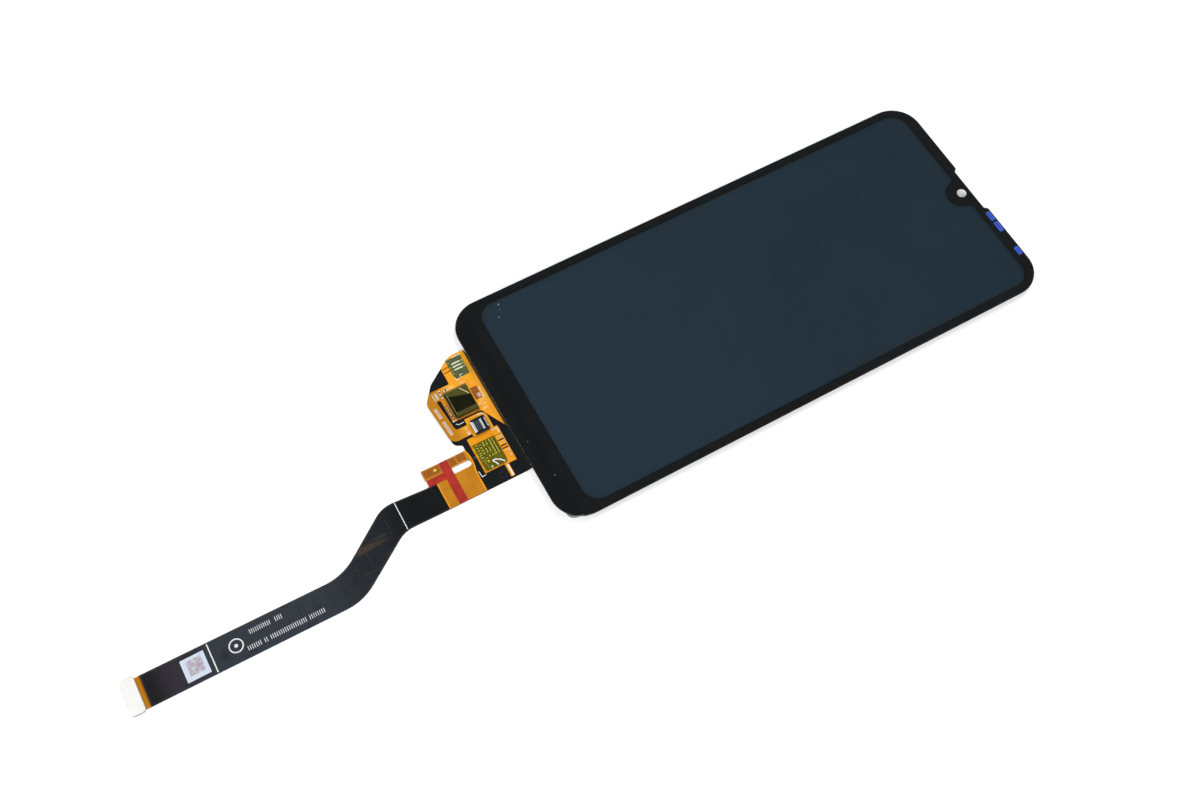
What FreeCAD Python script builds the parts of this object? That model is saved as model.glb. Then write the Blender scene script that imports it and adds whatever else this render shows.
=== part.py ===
import FreeCAD, Part
import math
import os
import Sketcher
from types import SimpleNamespace
from FreeCAD import Vector

# Phone screen assembly lying on its back: the glass looks up, the flexible circuits leave at the foot.
# Origin: centre of the glass outline, on the plane that the metal tray and the tail rest on.
# X runs across the screen, Y along it towards the camera opening, Z up. Millimetres.

os.makedirs("parts", exist_ok=True)
doc = FreeCAD.newDocument("PhoneScreenAssembly")
sheet = doc.addObject("Spreadsheet::Sheet", "Sheet")

sizes = {
    # Cover glass
    "glassWidth": 73.2,
    "glassLength": 157.2,
    "glassCorner": 8.9,
    "glassThick": 0.55,
    "glassFrontRound": 0.42,
    "glassBackChamfer": 0.08,
    "recessWidth": 16.2,
    "recessSlant": 0.85,
    "recessDepth": 1.0,
    "recessRound": 0.6,
    # Black border print with its openings
    "inkThick": 0.02,
    "inkMargin": 0.12,
    "borderSide": 2.7,
    "borderHead": 3.55,
    "borderFoot": 8.6,
    "windowCorner": 5.0,
    "dropWidth": 9.7,
    "dropTaper": 1.35,
    "dropDepth": 5.08,
    "dropRound": 4.2,
    "dropLipRound": 1.6,
    "cameraDrop": 3.75,
    "cameraWindow": 2.8,
    "lightWindowDrop": 1.08,
    "lightWindowHeight": 1.4,
    "lightWindowRound": 0.35,
    "firstWindowInset": 25.8,
    "firstWindowWidth": 3.25,
    "secondWindowInset": 21.7,
    "secondWindowWidth": 3.5,
    "thirdWindowInset": 12.2,
    "thirdWindowWidth": 2.8,
    # Overhang of the glass past the metal tray
    "flangeSide": 1.65,
    "flangeHead": 2.25,
    "flangeFoot": 1.85,
    "moduleCorner": 6.0,
    "footCorner": 2.5,
    "barrelGap": 2.5,
    "notchFlat": 0.15,
    "notchLip": 0.5,
    # Backlight
    "trayThick": 0.08,
    "trayWallThick": 0.1,
    "trayWallHeight": 0.37,
    "frameGap": 0.05,
    "frameBar": 0.6,
    "frameFootBar": 1.9,
    "filmGap": 0.1,
    "reflectorThick": 0.05,
    "guideThick": 0.26,
    "guideFootGap": 5.75,
    "diffuserThick": 0.04,
    "prismThick": 0.05,
    "filmAir": 0.04,
    "tapeThick": 0.04,
    "ledCount": 10,
    "ledWidth": 3.0,
    "ledDepth": 0.9,
    "ledHeight": 0.38,
    "ledGap": 0.1,
    "lightFlexGap": 2.6,
    "lightFlexEnd": 1.2,
    "lightFlexDepth": 3.4,
    "lightFlexThick": 0.06,
    "leadX": 11.5,
    "leadWidth": 4.0,
    "leadGap": 0.15,
    # Cell and touch layers
    "cellInset": 0.35,
    "rearPolariserThick": 0.1,
    "rearPolariserInset": 0.9,
    "tftThick": 0.15,
    "tftFootGap": 0.55,
    "filterThick": 0.15,
    "ledgeLength": 4.9,
    "frontPolariserThick": 0.1,
    "polariserInset": 0.6,
    "polariserStep": 0.4,
    "lowerAdhesiveThick": 0.06,
    "touchSensorThick": 0.1,
    "touchSensorInset": 0.4,
    "touchSensorFootGap": 0.75,
    "upperAdhesiveThick": 0.1,
    "chipWidth": 26.0,
    "chipDepth": 1.0,
    "chipHeight": 0.2,
    "chipStep": 1.2,
    # Flexible circuits: places down the Y axis are measured from the foot edge of the glass
    "bendRadius": 3.2,
    "bendStart": 1.65,
    "displayFlexThick": 0.12,
    "coverFilmThick": 0.05,
    "bondLength": 1.5,
    "bondLeft": 23.5,
    "bondRight": 19.5,
    "shoulderRise": 0.6,
    "shoulderRound": 0.6,
    "flexRight": 16.6,
    "flexWidth": 41.5,
    "flexHeadCorner": 1.1,
    "slopeStart": 4.85,
    "slopeMid": 12.95,
    "slopeFoot": 16.65,
    "slopeMidX": 19.2,
    "slopeFootX": 14.1,
    "slopeStartRound": 5.0,
    "slopeMidRound": 4.0,
    "slopeFootRound": 3.0,
    "footRise": 1.3,
    "footRight": 0.35,
    "footHollowX": 1.55,
    "footHollowRound": 1.8,
    "waistDrop": 13.3,
    "waistRound": 0.6,
    # Lower part with its leg, the slot and the tail
    "legLeft": 3.2,
    "legWidth": 2.85,
    "slotWidth": 1.9,
    "slotDrop": 13.45,
    "slotRound": 0.9,
    "tabLeft": 3.1,
    "tabWidth": 3.2,
    "tabDrop": 26.8,
    "neckLeft": 8.2,
    "neckWidth": 8.35,
    "neckDrop": 27.6,
    "neckRound": 12.0,
    "elbowLeft": 7.35,
    "elbowWidth": 9.0,
    "elbowDrop": 40.2,
    "elbowShift": 2.6,
    "elbowRound": 8.2,
    "tailLeft": 19.8,
    "tailWidth": 8.8,
    "kneeDrop": 57.1,
    "kneeShift": 2.0,
    "kneeRound": 15.0,
    "tailEndLeft": 19.05,
    "tailEndWidth": 8.95,
    "tailDrop": 117.1,
    "cutRound": 0.2,
    "tailFilmDrop": 19.6,
    "bareEnd": 4.6,
    # Opening of the cover film over the small components
    "openLeft": 0.5,
    "openWidth": 11.7,
    "openDrop": 2.25,
    "openLength": 9.35,
    "openFootWidth": 11.4,
    "stripDrop": 4.7,
    "stripHeight": 1.2,
    "stripWidth": 3.9,
    # Touch circuit
    "touchBondLength": 1.1,
    "touchBondLeft": 16.5,
    "touchBondRight": 9.4,
    "touchHeadGap": 0.05,
    "diagonalDrop": 4.15,
    "diagonalRound": 1.2,
    "islandRight": 5.75,
    "islandWidth": 11.25,
    "islandFoot": 12.5,
    "islandFootX": 5.85,
    "lobeRight": 22.45,
    "lobeFoot": 8.3,
    "lobeFootRound": 0.5,
    "islandNotchRise": 2.1,
    "islandNotchRound": 1.5,
    "touchSlotLeft": 13.65,
    "touchSlotHeight": 1.15,
    "touchSlotRound": 0.55,
    "touchSlotSlant": 0.16,
    "touchSlotRise": 0.9,
    "touchSlotMouthRound": 0.8,
    "legInner": 3.4,
    "legOuter": 0.1,
    "legTopX": 0.3,
    "padLeft": 5.2,
    "padRight": 0.8,
    "padDrop": 3.35,
    "padLength": 6.15,
    "padCorner": 2.0,
    "touchFootRight": 15.5,
    "touchFootRound": 2.3,
    # Touch chip and the film over it
    "touchChipX": 10.55,
    "touchChipDrop": 7.75,
    "touchChipWidth": 7.9,
    "touchChipLength": 6.9,
    "touchChipHeight": 0.4,
    "overFilmThick": 0.05,
    "overFilmGap": 0.02,
    "overFilmFoot": 0.13,
    "chipFilmSide": 0.7,
    # Left lobe
    "lobePadX": 21.2,
    "lobePadDrop": 3.75,
    "lobePadPitch": 1.02,
    "lobePadWidth": 0.5,
    "lobePadLength": 2.6,
    "padThick": 0.03,
    "lobeFilmX": 20.75,
    "lobeFilmDrop": 3.35,
    "lobeFilmWidth": 6.7,
    "lobeFilmLength": 5.7,
    # Small components
    "smallLength": 1.0,
    "smallWidth": 0.46,
    "smallHeight": 0.33,
    "fieldX": 3.5,
    "fieldPitch": 0.72,
    "rowOneDrop": 5.85,
    "rowTwoDrop": 7.75,
    "rowThreeDrop": 9.2,
    "rowFourDrop": 10.15,
    "fieldFilmX": 7.2,
    "fieldFilmDrop": 7.85,
    "fieldFilmWidth": 9.2,
    "fieldFilmLength": 7.0,
    "fieldFilmSlope": 0.45,
    "fieldFilmCut": 1.0,
    "touchPartX": 15.75,
    "touchPartDrop": 11.85,
    "touchPartPitch": 1.35,
    "sidePartDrop": 10.05,
    # Small connector on the end pad
    "socketX": 1.5,
    "socketDrop": 6.5,
    "socketWidth": 4.5,
    "socketLength": 4.4,
    "socketHeight": 0.8,
    "socketCorner": 0.45,
    "socketWall": 0.5,
    "socketFloor": 0.3,
    "tongueWidth": 3.3,
    "tongueLength": 1.7,
    "tongueShift": 0.45,
    "pinCount": 6,
    "pinPitch": 0.56,
    "pinWidth": 0.34,
    "pinLength": 0.6,
    "pinRise": 0.35,
    "barLength": 0.34,
    "stripThick": 0.04,
    "stripLine": 0.45,
    # Joint sheet, tape and label
    "jointThick": 0.08,
    "jointRight": 16.5,
    "jointHeadDrop": 13.35,
    "jointWave": 0.45,
    "jointWaveLeft": 5.2,
    "jointWaveRight": 8.0,
    "jointWaveEnd": 10.2,
    "jointWaveRound": 2.0,
    "jointFootDrop": 24.5,
    "tapeDrop": 19.0,
    "tapeBar": 2.5,
    "tapeLegLeft": 6.3,
    "tapeLegWidth": 2.05,
    "tapeLegDrop": 26.6,
    "redTapeThick": 0.06,
    "dotX": 4.5,
    "dotDrop": 23.1,
    "dotWidth": 0.85,
    "labelX": 23.8,
    "labelDrop": 99.3,
    "labelSize": 6.3,
    "labelThick": 0.06,
    # Plug on the tail end and its cap
    "capX": 23.6,
    "capWidth": 9.8,
    "capLength": 3.85,
    "capHeight": 0.95,
    "capWall": 0.3,
    "capCorner": 0.9,
    "capRound": 0.22,
    "capFlexGap": 0.03,
    "capFloorGap": 0.02,
    "plugWidth": 7.4,
    "plugLength": 2.3,
    "plugCorner": 0.3,
    "plugWellDepth": 0.3,
    "plugWall": 0.45,
    "plugPinCount": 12,
    "plugPinPitch": 0.5,
    "plugPinWidth": 0.2,
    "plugPinLength": 0.5,
}

for row, (alias, value) in enumerate(sizes.items(), start=1):
    sheet.set(f"A{row}", alias)
    sheet.set(f"B{row}", str(value))
    sheet.setAlias(f"B{row}", alias)
doc.recompute()


class Size:
    # A number from the sheet together with the expression that ties a feature to it
    def __init__(self, value, text):
        self.value = value
        self.text = text

    def __add__(self, other):
        other = sized(other)
        return Size(self.value + other.value, f"({self.text} + {other.text})")

    def __sub__(self, other):
        other = sized(other)
        return Size(self.value - other.value, f"({self.text} - {other.text})")

    def __mul__(self, other):
        other = sized(other)
        return Size(self.value * other.value, f"({self.text} * {other.text})")

    def __truediv__(self, other):
        other = sized(other)
        return Size(self.value / other.value, f"({self.text} / {other.text})")

    def __neg__(self):
        return Size(-self.value, f"(-{self.text})")


def sized(number):
    return number if isinstance(number, Size) else Size(float(number), repr(float(number)))


def squareRoot(size):
    return Size(math.sqrt(size.value), f"sqrt({size.text})")


def bind(target, path, size):
    target.setExpression(path, sized(size).text)


s = SimpleNamespace(**{alias: Size(float(sheet.get(alias)), f"Sheet.{alias}") for alias in sizes})
pieces = []


# Drawing helpers. A corner is (x, y, radius); the radius 0 leaves it sharp.

def newPiece(label, several=False):
    body = doc.addObject("PartDesign::Body", label)
    body.Label = label
    body.AllowCompound = several
    pieces.append(body)
    return body


def newSketch(body, level=0, plane="XY_Plane"):
    sketch = body.newObject("Sketcher::SketchObject", f"{body.Label}_sketch")
    support = next(item for item in body.Origin.OriginFeatures if item.Role == plane)
    sketch.AttachmentSupport = [(support, "")]
    sketch.MapMode = "FlatFace"
    bind(sketch, ".AttachmentOffset.Base.z", level)
    return sketch


def applyConstraints(sketch, constraints):
    start = sketch.ConstraintCount
    sketch.addConstraint([Sketcher.Constraint(*kind, size.value) if size else Sketcher.Constraint(*kind)
                          for kind, size in constraints])
    for index, (kind, size) in enumerate(constraints, start=start):
        if size and "Sheet." in size.text:
            sketch.setExpression(f"Constraints[{index}]", size.text)


def roundedCorner(before, here, after, radius):
    # The arc in a corner, its two tangent points, and whether the outline turns left there
    back = (before - here).normalize()
    ahead = (after - here).normalize()
    half = back.getAngle(ahead) / 2
    centre = here + (back + ahead).normalize() * (radius / math.sin(half))
    into = here + back * (radius / math.tan(half))
    out = here + ahead * (radius / math.tan(half))
    left = back.cross(ahead).z < 0
    first, last = (into, out) if left else (out, into)
    startAngle = math.atan2(first.y - centre.y, first.x - centre.x)
    endAngle = math.atan2(last.y - centre.y, last.x - centre.x)
    circle = Part.Circle(centre, Vector(0, 0, 1), radius)
    return Part.ArcOfCircle(circle, startAngle, endAngle), into, out, left


def drawOutline(sketch, corners):
    corners = [tuple(sized(number) for number in corner) for corner in corners]
    points = [Vector(x.value, y.value, 0) for x, y, radius in corners]
    count = len(corners)
    firstLine = sketch.GeometryCount
    rounded = {}
    ends = [(point, point) for point in points]
    for i, (x, y, radius) in enumerate(corners):
        if radius.value > 0:
            arc, into, out, left = roundedCorner(points[i - 1], points[i], points[(i + 1) % count], radius.value)
            rounded[i] = (arc, left)
            ends[i] = (into, out)
    sketch.addGeometry([Part.LineSegment(ends[i][1], ends[(i + 1) % count][0]) for i in range(count)], False)
    constraints = []
    for i, (x, y, radius) in enumerate(corners):
        before = firstLine + (i - 1) % count
        after = firstLine + i
        corner = after
        if i in rounded:
            arc, left = rounded[i]
            arcId = sketch.addGeometry(arc, False)
            corner = sketch.addGeometry(Part.Point(points[i]), True)
            constraints += [(("PointOnObject", corner, 1, before), None),
                            (("PointOnObject", corner, 1, after), None),
                            (("Tangent", before, 2, arcId, 1 if left else 2), None),
                            (("Tangent", arcId, 2 if left else 1, after, 1), None),
                            (("Radius", arcId), radius)]
        else:
            constraints.append((("Coincident", before, 2, after, 1), None))
        constraints += [(("DistanceX", -1, 1, corner, 1), x), (("DistanceY", -1, 1, corner, 1), y)]
    applyConstraints(sketch, constraints)


def drawCircle(sketch, x, y, radius):
    x, y, radius = sized(x), sized(y), sized(radius)
    circle = sketch.addGeometry(Part.Circle(Vector(x.value, y.value, 0), Vector(0, 0, 1), radius.value), False)
    across = (("DistanceX", -1, 1, circle, 3), x) if x.value else (("PointOnObject", circle, 3, -2), None)
    applyConstraints(sketch, [across, (("DistanceY", -1, 1, circle, 3), y), (("Radius", circle), radius)])


def drawShapes(sketch, shapes):
    # A list is an outline of corners, a tuple is a circle
    for shape in shapes:
        if isinstance(shape, tuple):
            drawCircle(sketch, *shape)
        else:
            drawOutline(sketch, shape)


def block(x, y, width, length, radius=0):
    # Rectangle about its centre
    x, y = sized(x), sized(y)
    return [(x - width / 2, y - length / 2, radius), (x + width / 2, y - length / 2, radius),
            (x + width / 2, y + length / 2, radius), (x - width / 2, y + length / 2, radius)]


def cutCorner(corners, cut):
    # Takes the far right corner of a rectangle off at 45 degrees
    x, y, radius = corners[2]
    return corners[:2] + [(x, y - cut, radius), (x - cut, y, radius)] + corners[3:]


def padUp(body, shapes, level, height):
    sketch = newSketch(body, level)
    drawShapes(sketch, shapes)
    pad = body.newObject("PartDesign::Pad", f"{body.Label}_pad")
    pad.Profile = sketch
    bind(pad, "Length", height)
    return pad


def pocketUp(body, shapes, level, depth):
    # Takes material away from the level upwards
    sketch = newSketch(body, level)
    drawShapes(sketch, shapes)
    pocket = body.newObject("PartDesign::Pocket", f"{body.Label}_pocket")
    pocket.Profile = sketch
    pocket.Reversed = True
    bind(pocket, "Length", depth)
    return pocket


def plate(label, shapes, level, height, several=False):
    body = newPiece(label, several)
    padUp(body, shapes, level, height)
    return body


def flatEdges(feature, level):
    return [f"Edge{index}" for index, edge in enumerate(feature.Shape.Edges, start=1)
            if abs(edge.BoundBox.ZMin - level.value) < 1e-5 and abs(edge.BoundBox.ZMax - level.value) < 1e-5]


def dressEdges(body, kind, base, level, path, size):
    # Rounds or bevels every edge that lies at one level
    doc.recompute()
    dress = body.newObject(f"PartDesign::{kind}", f"{body.Label}_{kind.lower()}")
    dress.Base = (base, flatEdges(base, level))
    bind(dress, path, size)
    return dress


# Levels of the stack, from the table up

reflectorBase = s.trayThick
guideBase = reflectorBase + s.reflectorThick
diffuserBase = guideBase + s.guideThick
lowerPrismBase = diffuserBase + s.diffuserThick
upperPrismBase = lowerPrismBase + s.prismThick
rearPolariserBase = upperPrismBase + s.prismThick + s.filmAir
tftBase = rearPolariserBase + s.rearPolariserThick
tftTop = tftBase + s.tftThick
filterTop = tftTop + s.filterThick
frontPolariserTop = filterTop + s.frontPolariserThick
touchSensorBase = frontPolariserTop + s.lowerAdhesiveThick
touchSensorTop = touchSensorBase + s.touchSensorThick
inkBase = touchSensorTop + s.upperAdhesiveThick
glassBase = inkBase + s.inkThick
glassTop = glassBase + s.glassThick
frameTop = tftBase - s.tapeThick

# Places across and along the screen

glassSide = s.glassWidth / 2
glassEnd = s.glassLength / 2
cameraY = glassEnd - s.cameraDrop
moduleSide = glassSide - s.flangeSide
moduleHead = glassEnd - s.flangeHead
moduleFoot = s.flangeFoot - glassEnd
guideFoot = moduleFoot + s.guideFootGap
filmFoot = guideFoot + s.filmGap
tftFoot = moduleFoot + s.tftFootGap
filterFoot = tftFoot + s.ledgeLength
polariserFoot = filterFoot + s.polariserStep
bendY = -glassEnd + s.bendStart


def below(drop):
    # Y of a place that lies this far below the foot edge of the glass
    return -glassEnd - drop


def glassOutline(inset):
    side, end = glassSide - inset, glassEnd - inset
    corner = s.glassCorner - inset
    mouth = s.recessWidth / 2 + inset
    foot = mouth - s.recessSlant
    return [(-side, -end, corner), (side, -end, corner), (side, end, corner),
            (mouth, end, s.recessRound), (foot, end - s.recessDepth, s.recessRound),
            (-foot, end - s.recessDepth, s.recessRound), (-mouth, end, s.recessRound), (-side, end, corner)]


def windowOutline():
    side = glassSide - s.borderSide
    head, foot = glassEnd - s.borderHead, s.borderFoot - glassEnd
    lip = s.dropWidth / 2
    root = lip - s.dropTaper
    return [(-side, foot, s.windowCorner), (side, foot, s.windowCorner), (side, head, s.windowCorner),
            (lip, head, s.dropLipRound), (root, head - s.dropDepth, s.dropRound),
            (-root, head - s.dropDepth, s.dropRound), (-lip, head, s.dropLipRound), (-side, head, s.windowCorner)]


def lightWindows():
    y = glassEnd - s.lightWindowDrop
    places = [(s.firstWindowInset, s.firstWindowWidth), (s.secondWindowInset, s.secondWindowWidth),
              (s.thirdWindowInset, s.thirdWindowWidth)]
    return [block(glassSide - inset, y, width, s.lightWindowHeight, s.lightWindowRound) for inset, width in places]


def moduleOutline(inset, foot):
    # Outline of one layer behind the glass, with the notch that leaves the camera free
    side, head = moduleSide - inset, moduleHead - inset
    corner = s.moduleCorner - inset
    notch = s.barrelGap + inset
    notchFoot = cameraY - notch
    notchRound = notch - s.notchFlat
    return [(-side, foot, s.footCorner), (side, foot, s.footCorner), (side, head, corner),
            (notch, head, s.notchLip), (notch, notchFoot, notchRound),
            (-notch, notchFoot, notchRound), (-notch, head, s.notchLip), (-side, head, corner)]


# Cover glass with its print

glass = newPiece("cover_glass")
glassPad = padUp(glass, [glassOutline(0)], glassBase, s.glassThick)
glassRound = dressEdges(glass, "Fillet", glassPad, glassTop, "Radius", s.glassFrontRound)
dressEdges(glass, "Chamfer", glassRound, glassBase, "Size", s.glassBackChamfer)

plate("border_print", [glassOutline(s.inkMargin), windowOutline(), (0, cameraY, s.cameraWindow / 2),
                       *lightWindows()], inkBase, s.inkThick)
plate("sensor_windows", lightWindows(), inkBase, s.inkThick, several=True)

# Touch layer and cell

upperAdhesive = newPiece("upper_adhesive")
padUp(upperAdhesive, [moduleOutline(s.touchSensorInset, moduleFoot + s.touchSensorFootGap)], touchSensorTop,
      s.upperAdhesiveThick)
padUp(upperAdhesive, [windowOutline()], inkBase, s.inkThick)
plate("touch_sensor", [moduleOutline(s.touchSensorInset, moduleFoot + s.touchSensorFootGap)], touchSensorBase,
      s.touchSensorThick)
plate("lower_adhesive", [moduleOutline(s.polariserInset, polariserFoot)], frontPolariserTop, s.lowerAdhesiveThick)
plate("front_polariser", [moduleOutline(s.polariserInset, polariserFoot)], filterTop, s.frontPolariserThick)
plate("colour_filter_glass", [moduleOutline(s.cellInset, filterFoot)], tftTop, s.filterThick)
plate("tft_glass", [moduleOutline(s.cellInset, tftFoot)], tftBase, s.tftThick)
plate("driver_chip", [block(0, filterFoot - s.chipStep - s.chipDepth / 2, s.chipWidth, s.chipDepth)], tftTop,
      s.chipHeight)
plate("rear_polariser", [moduleOutline(s.rearPolariserInset, polariserFoot)], rearPolariserBase,
      s.rearPolariserThick)

# Backlight: metal tray, plastic frame, tape, films, light guide and light sources

frameInset = s.trayWallThick + s.frameGap
frameInnerInset = frameInset + s.frameBar
filmInset = frameInnerInset + s.filmGap
frameFoot = moduleFoot + frameInset
frameInnerFoot = frameFoot + s.frameFootBar
leadSlotWidth = s.leadWidth + s.leadGap * 2

tray = newPiece("back_plate")
padUp(tray, [moduleOutline(0, moduleFoot)], 0, s.trayThick + s.trayWallHeight)
pocketUp(tray, [moduleOutline(s.trayWallThick, moduleFoot + s.trayWallThick)], s.trayThick, s.trayWallHeight)
pocketUp(tray, [block(s.leadX, moduleFoot, leadSlotWidth, s.frameFootBar)], s.trayThick, s.trayWallHeight)

frame = newPiece("backlight_frame")
padUp(frame, [moduleOutline(frameInset, frameFoot), moduleOutline(frameInnerInset, frameInnerFoot)], s.trayThick,
      frameTop - s.trayThick)
pocketUp(frame, [block(s.leadX, frameFoot, leadSlotWidth, s.frameFootBar * 3)], s.trayThick,
         s.lightFlexThick + s.frameGap)

tapeInset = frameInset + s.frameGap
tapeInnerInset = frameInnerInset - s.frameGap
plate("shading_tape", [moduleOutline(tapeInset, frameFoot + s.frameGap),
                       moduleOutline(tapeInnerInset, polariserFoot - s.frameGap)], frameTop, s.tapeThick)
plate("upper_prism_film", [moduleOutline(filmInset, filmFoot)], upperPrismBase, s.prismThick)
plate("lower_prism_film", [moduleOutline(filmInset, filmFoot)], lowerPrismBase, s.prismThick)
plate("diffuser_film", [moduleOutline(filmInset, filmFoot)], diffuserBase, s.diffuserThick)
plate("light_guide", [moduleOutline(filmInset, guideFoot)], guideBase, s.guideThick)
plate("reflector_film", [moduleOutline(filmInset, guideFoot)], reflectorBase, s.reflectorThick)

# The lead of the light strip runs out under the display circuit until it meets its bend

bendDrop = tftTop
bendRun = squareRoot(bendDrop * (s.bendRadius * 4 - bendDrop))
leadTop = s.trayThick + s.lightFlexThick
leadEnd = bendY - bendRun + squareRoot(leadTop * (s.bendRadius * 2 - leadTop))
stripHead = guideFoot - s.ledGap
stripFoot = stripHead - s.lightFlexDepth
lightHalf = moduleSide - filmInset - s.lightFlexGap
leadLeft, leadRight = s.leadX - s.leadWidth / 2, s.leadX + s.leadWidth / 2
plate("backlight_flex", [[(-lightHalf, stripHead, 0), (-lightHalf, stripFoot, s.cutRound),
                          (leadLeft, stripFoot, s.cutRound), (leadLeft, leadEnd, 0), (leadRight, leadEnd, 0),
                          (leadRight, stripFoot, s.cutRound), (lightHalf, stripFoot, s.cutRound),
                          (lightHalf, stripHead, 0)]], s.trayThick, s.lightFlexThick)

leds = newPiece("backlight_leds", several=True)
firstLed = s.lightFlexEnd + s.ledWidth / 2 - lightHalf
ledPitch = firstLed * -2 / (s.ledCount - 1)
ledPad = padUp(leds, [block(firstLed, stripHead - s.ledDepth / 2, s.ledWidth, s.ledDepth)], leadTop, s.ledHeight)
ledRow = leds.newObject("PartDesign::LinearPattern", "backlight_leds_row")
ledRow.Originals = [ledPad]
ledRow.Direction = (ledPad.Profile[0], ["H_Axis"])
ledRow.Mode = "Spacing"
bind(ledRow, "Offset", ledPitch)
bind(ledRow, "Occurrences", s.ledCount)
leds.Tip = ledRow

# Flexible circuits. Each is a sheet that leaves the ledge, bends down to the table and is then cut to its
# outline. All share the two centres of the bend, so that sheets laid on each other stay in touch.

filmBase = s.displayFlexThick
filmTop = filmBase + s.coverFilmThick
touchFlexThick = touchSensorBase - tftTop - filmTop
touchTop = filmTop + touchFlexThick
tailEnd = below(s.tailDrop)
bondHead = tftFoot + s.bondLength
touchHead = moduleFoot + s.touchSensorFootGap + s.touchBondLength
flexLeft = s.flexRight - s.flexWidth
legRight = s.legLeft + s.legWidth
slotRight = legRight + s.slotWidth
sheetHead = glassEnd * -0.9


def drawBend(sketch, lift, thick, farY):
    # Side view of one bent sheet: its underside lies this far above the path along the ledge and the table
    lift = sized(lift)
    radius, drop = s.bendRadius, bendDrop.value
    r = radius.value
    low, up = lift.value, lift.value + thick.value
    startY, y = sheetHead.value, bendY.value
    angle = math.acos(1 - drop / (2 * r))
    endY = y - 2 * r * math.sin(angle)
    upper, lower = Vector(y, drop - r, 0), Vector(endY, r, 0)
    quarter, axis = math.pi / 2, Vector(0, 0, 1)

    def arc(centre, size, start):
        return Part.ArcOfCircle(Part.Circle(centre, axis, size), start, start + angle)

    def line(firstY, firstZ, lastY, lastZ):
        return Part.LineSegment(Vector(firstY, firstZ, 0), Vector(lastY, lastZ, 0))

    far = farY.value
    sketch.addGeometry([
        line(startY, drop + low, y, drop + low), arc(upper, r + low, quarter), arc(lower, r - low, -quarter),
        line(endY, low, far, low), line(far, low, far, up), line(far, up, endY, up),
        arc(lower, r - up, -quarter), arc(upper, r + up, quarter),
        line(y, drop + up, startY, drop + up), line(startY, drop + up, startY, drop + low)], False)
    floor = (("DistanceY", -1, 1, 3, 1), lift) if low else (("PointOnObject", 3, 1, -1), None)
    applyConstraints(sketch, [
        (("Horizontal", 0), None), (("Horizontal", 3), None), (("Horizontal", 5), None), (("Horizontal", 8), None),
        (("Vertical", 4), None), (("Vertical", 9), None),
        (("Tangent", 0, 2, 1, 1), None), (("Tangent", 1, 2, 2, 2), None), (("Tangent", 2, 1, 3, 1), None),
        (("Coincident", 3, 2, 4, 1), None), (("Coincident", 4, 2, 5, 1), None),
        (("Tangent", 5, 2, 6, 1), None), (("Tangent", 6, 2, 7, 2), None), (("Tangent", 7, 1, 8, 1), None),
        (("Coincident", 8, 2, 9, 1), None), (("Coincident", 9, 2, 0, 1), None),
        (("Coincident", 1, 3, 7, 3), None), (("Coincident", 2, 3, 6, 3), None), floor,
        (("DistanceX", -1, 1, 1, 3), bendY), (("DistanceY", -1, 1, 1, 3), bendDrop - radius),
        (("Radius", 1), radius + lift), (("Radius", 2), radius - lift), (("Radius", 7), radius + lift + thick),
        (("DistanceX", -1, 1, 0, 1), sheetHead), (("DistanceX", -1, 1, 4, 1), farY)])


def bentSheet(label, outline, openings, lift, thick):
    body = newPiece(label)
    side = newSketch(body, 0, "YZ_Plane")
    drawBend(side, lift, thick, s.glassLength * -1.5)
    sheetPad = body.newObject("PartDesign::Pad", f"{label}_sheet")
    sheetPad.Profile = side
    sheetPad.SideType = "Symmetric"
    bind(sheetPad, "Length", s.glassWidth * 1.5)
    around = [(-s.glassWidth, s.glassLength * -2, 0), (s.glassWidth, s.glassLength * -2, 0),
              (s.glassWidth, 0, 0), (-s.glassWidth, 0, 0)]
    for shapes in [[around, outline]] + [[opening] for opening in openings]:
        plan = newSketch(body)
        drawShapes(plan, shapes)
        trim = body.newObject("PartDesign::Pocket", f"{label}_trim")
        trim.Profile = plan
        trim.Type = "ThroughAll"
        trim.SideType = "Symmetric"
    return body


# Left and foot edges that the display circuit, its film and the touch circuit share
sharedSlope = [(flexLeft, below(s.slopeStart), s.slopeStartRound),
               (-s.slopeMidX, below(s.slopeMid), s.slopeMidRound),
               (-s.slopeFootX, below(s.slopeFoot), s.slopeFootRound)]
hollow = [(s.footRight, below(s.slopeFoot - s.footRise), s.footHollowRound),
          (s.footHollowX, below(s.waistDrop), s.waistRound)]
shoulderY = s.shoulderRise - glassEnd
headY = s.touchHeadGap - glassEnd
head = [(s.flexRight, shoulderY, s.shoulderRound), (s.bondRight, shoulderY, s.cutRound),
        (s.bondRight, bondHead, s.cutRound), (-s.bondLeft, bondHead, s.cutRound),
        (-s.bondLeft, headY, s.cutRound), (flexLeft, headY, s.flexHeadCorner)]
leg = [(s.legLeft, below(s.waistDrop), 0), (s.legLeft, below(s.tabDrop), s.cutRound),
       (legRight, below(s.tabDrop), s.cutRound)]
slot = [(legRight, below(s.slotDrop), s.slotRound), (slotRight, below(s.slotDrop), s.slotRound)]
elbow = [(s.neckLeft, below(s.neckDrop), s.neckRound), (s.elbowLeft, below(s.elbowDrop), s.elbowRound),
         (s.tailLeft, below(s.kneeDrop), s.kneeRound)]
elbowBack = [(s.tailLeft + s.tailWidth, below(s.kneeDrop - s.kneeShift), s.kneeRound),
             (s.elbowLeft + s.elbowWidth, below(s.elbowDrop - s.elbowShift), s.elbowRound),
             (s.neckLeft + s.neckWidth, below(s.neckDrop), s.neckRound)]
tailFoot = [(s.tailEndLeft, tailEnd, s.cutRound), (s.tailEndLeft + s.tailEndWidth, tailEnd, s.cutRound)]

displayOutline = sharedSlope + hollow + leg + slot + elbow + tailFoot + elbowBack + head
bentSheet("display_flex", displayOutline, [], 0, s.displayFlexThick)

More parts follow.
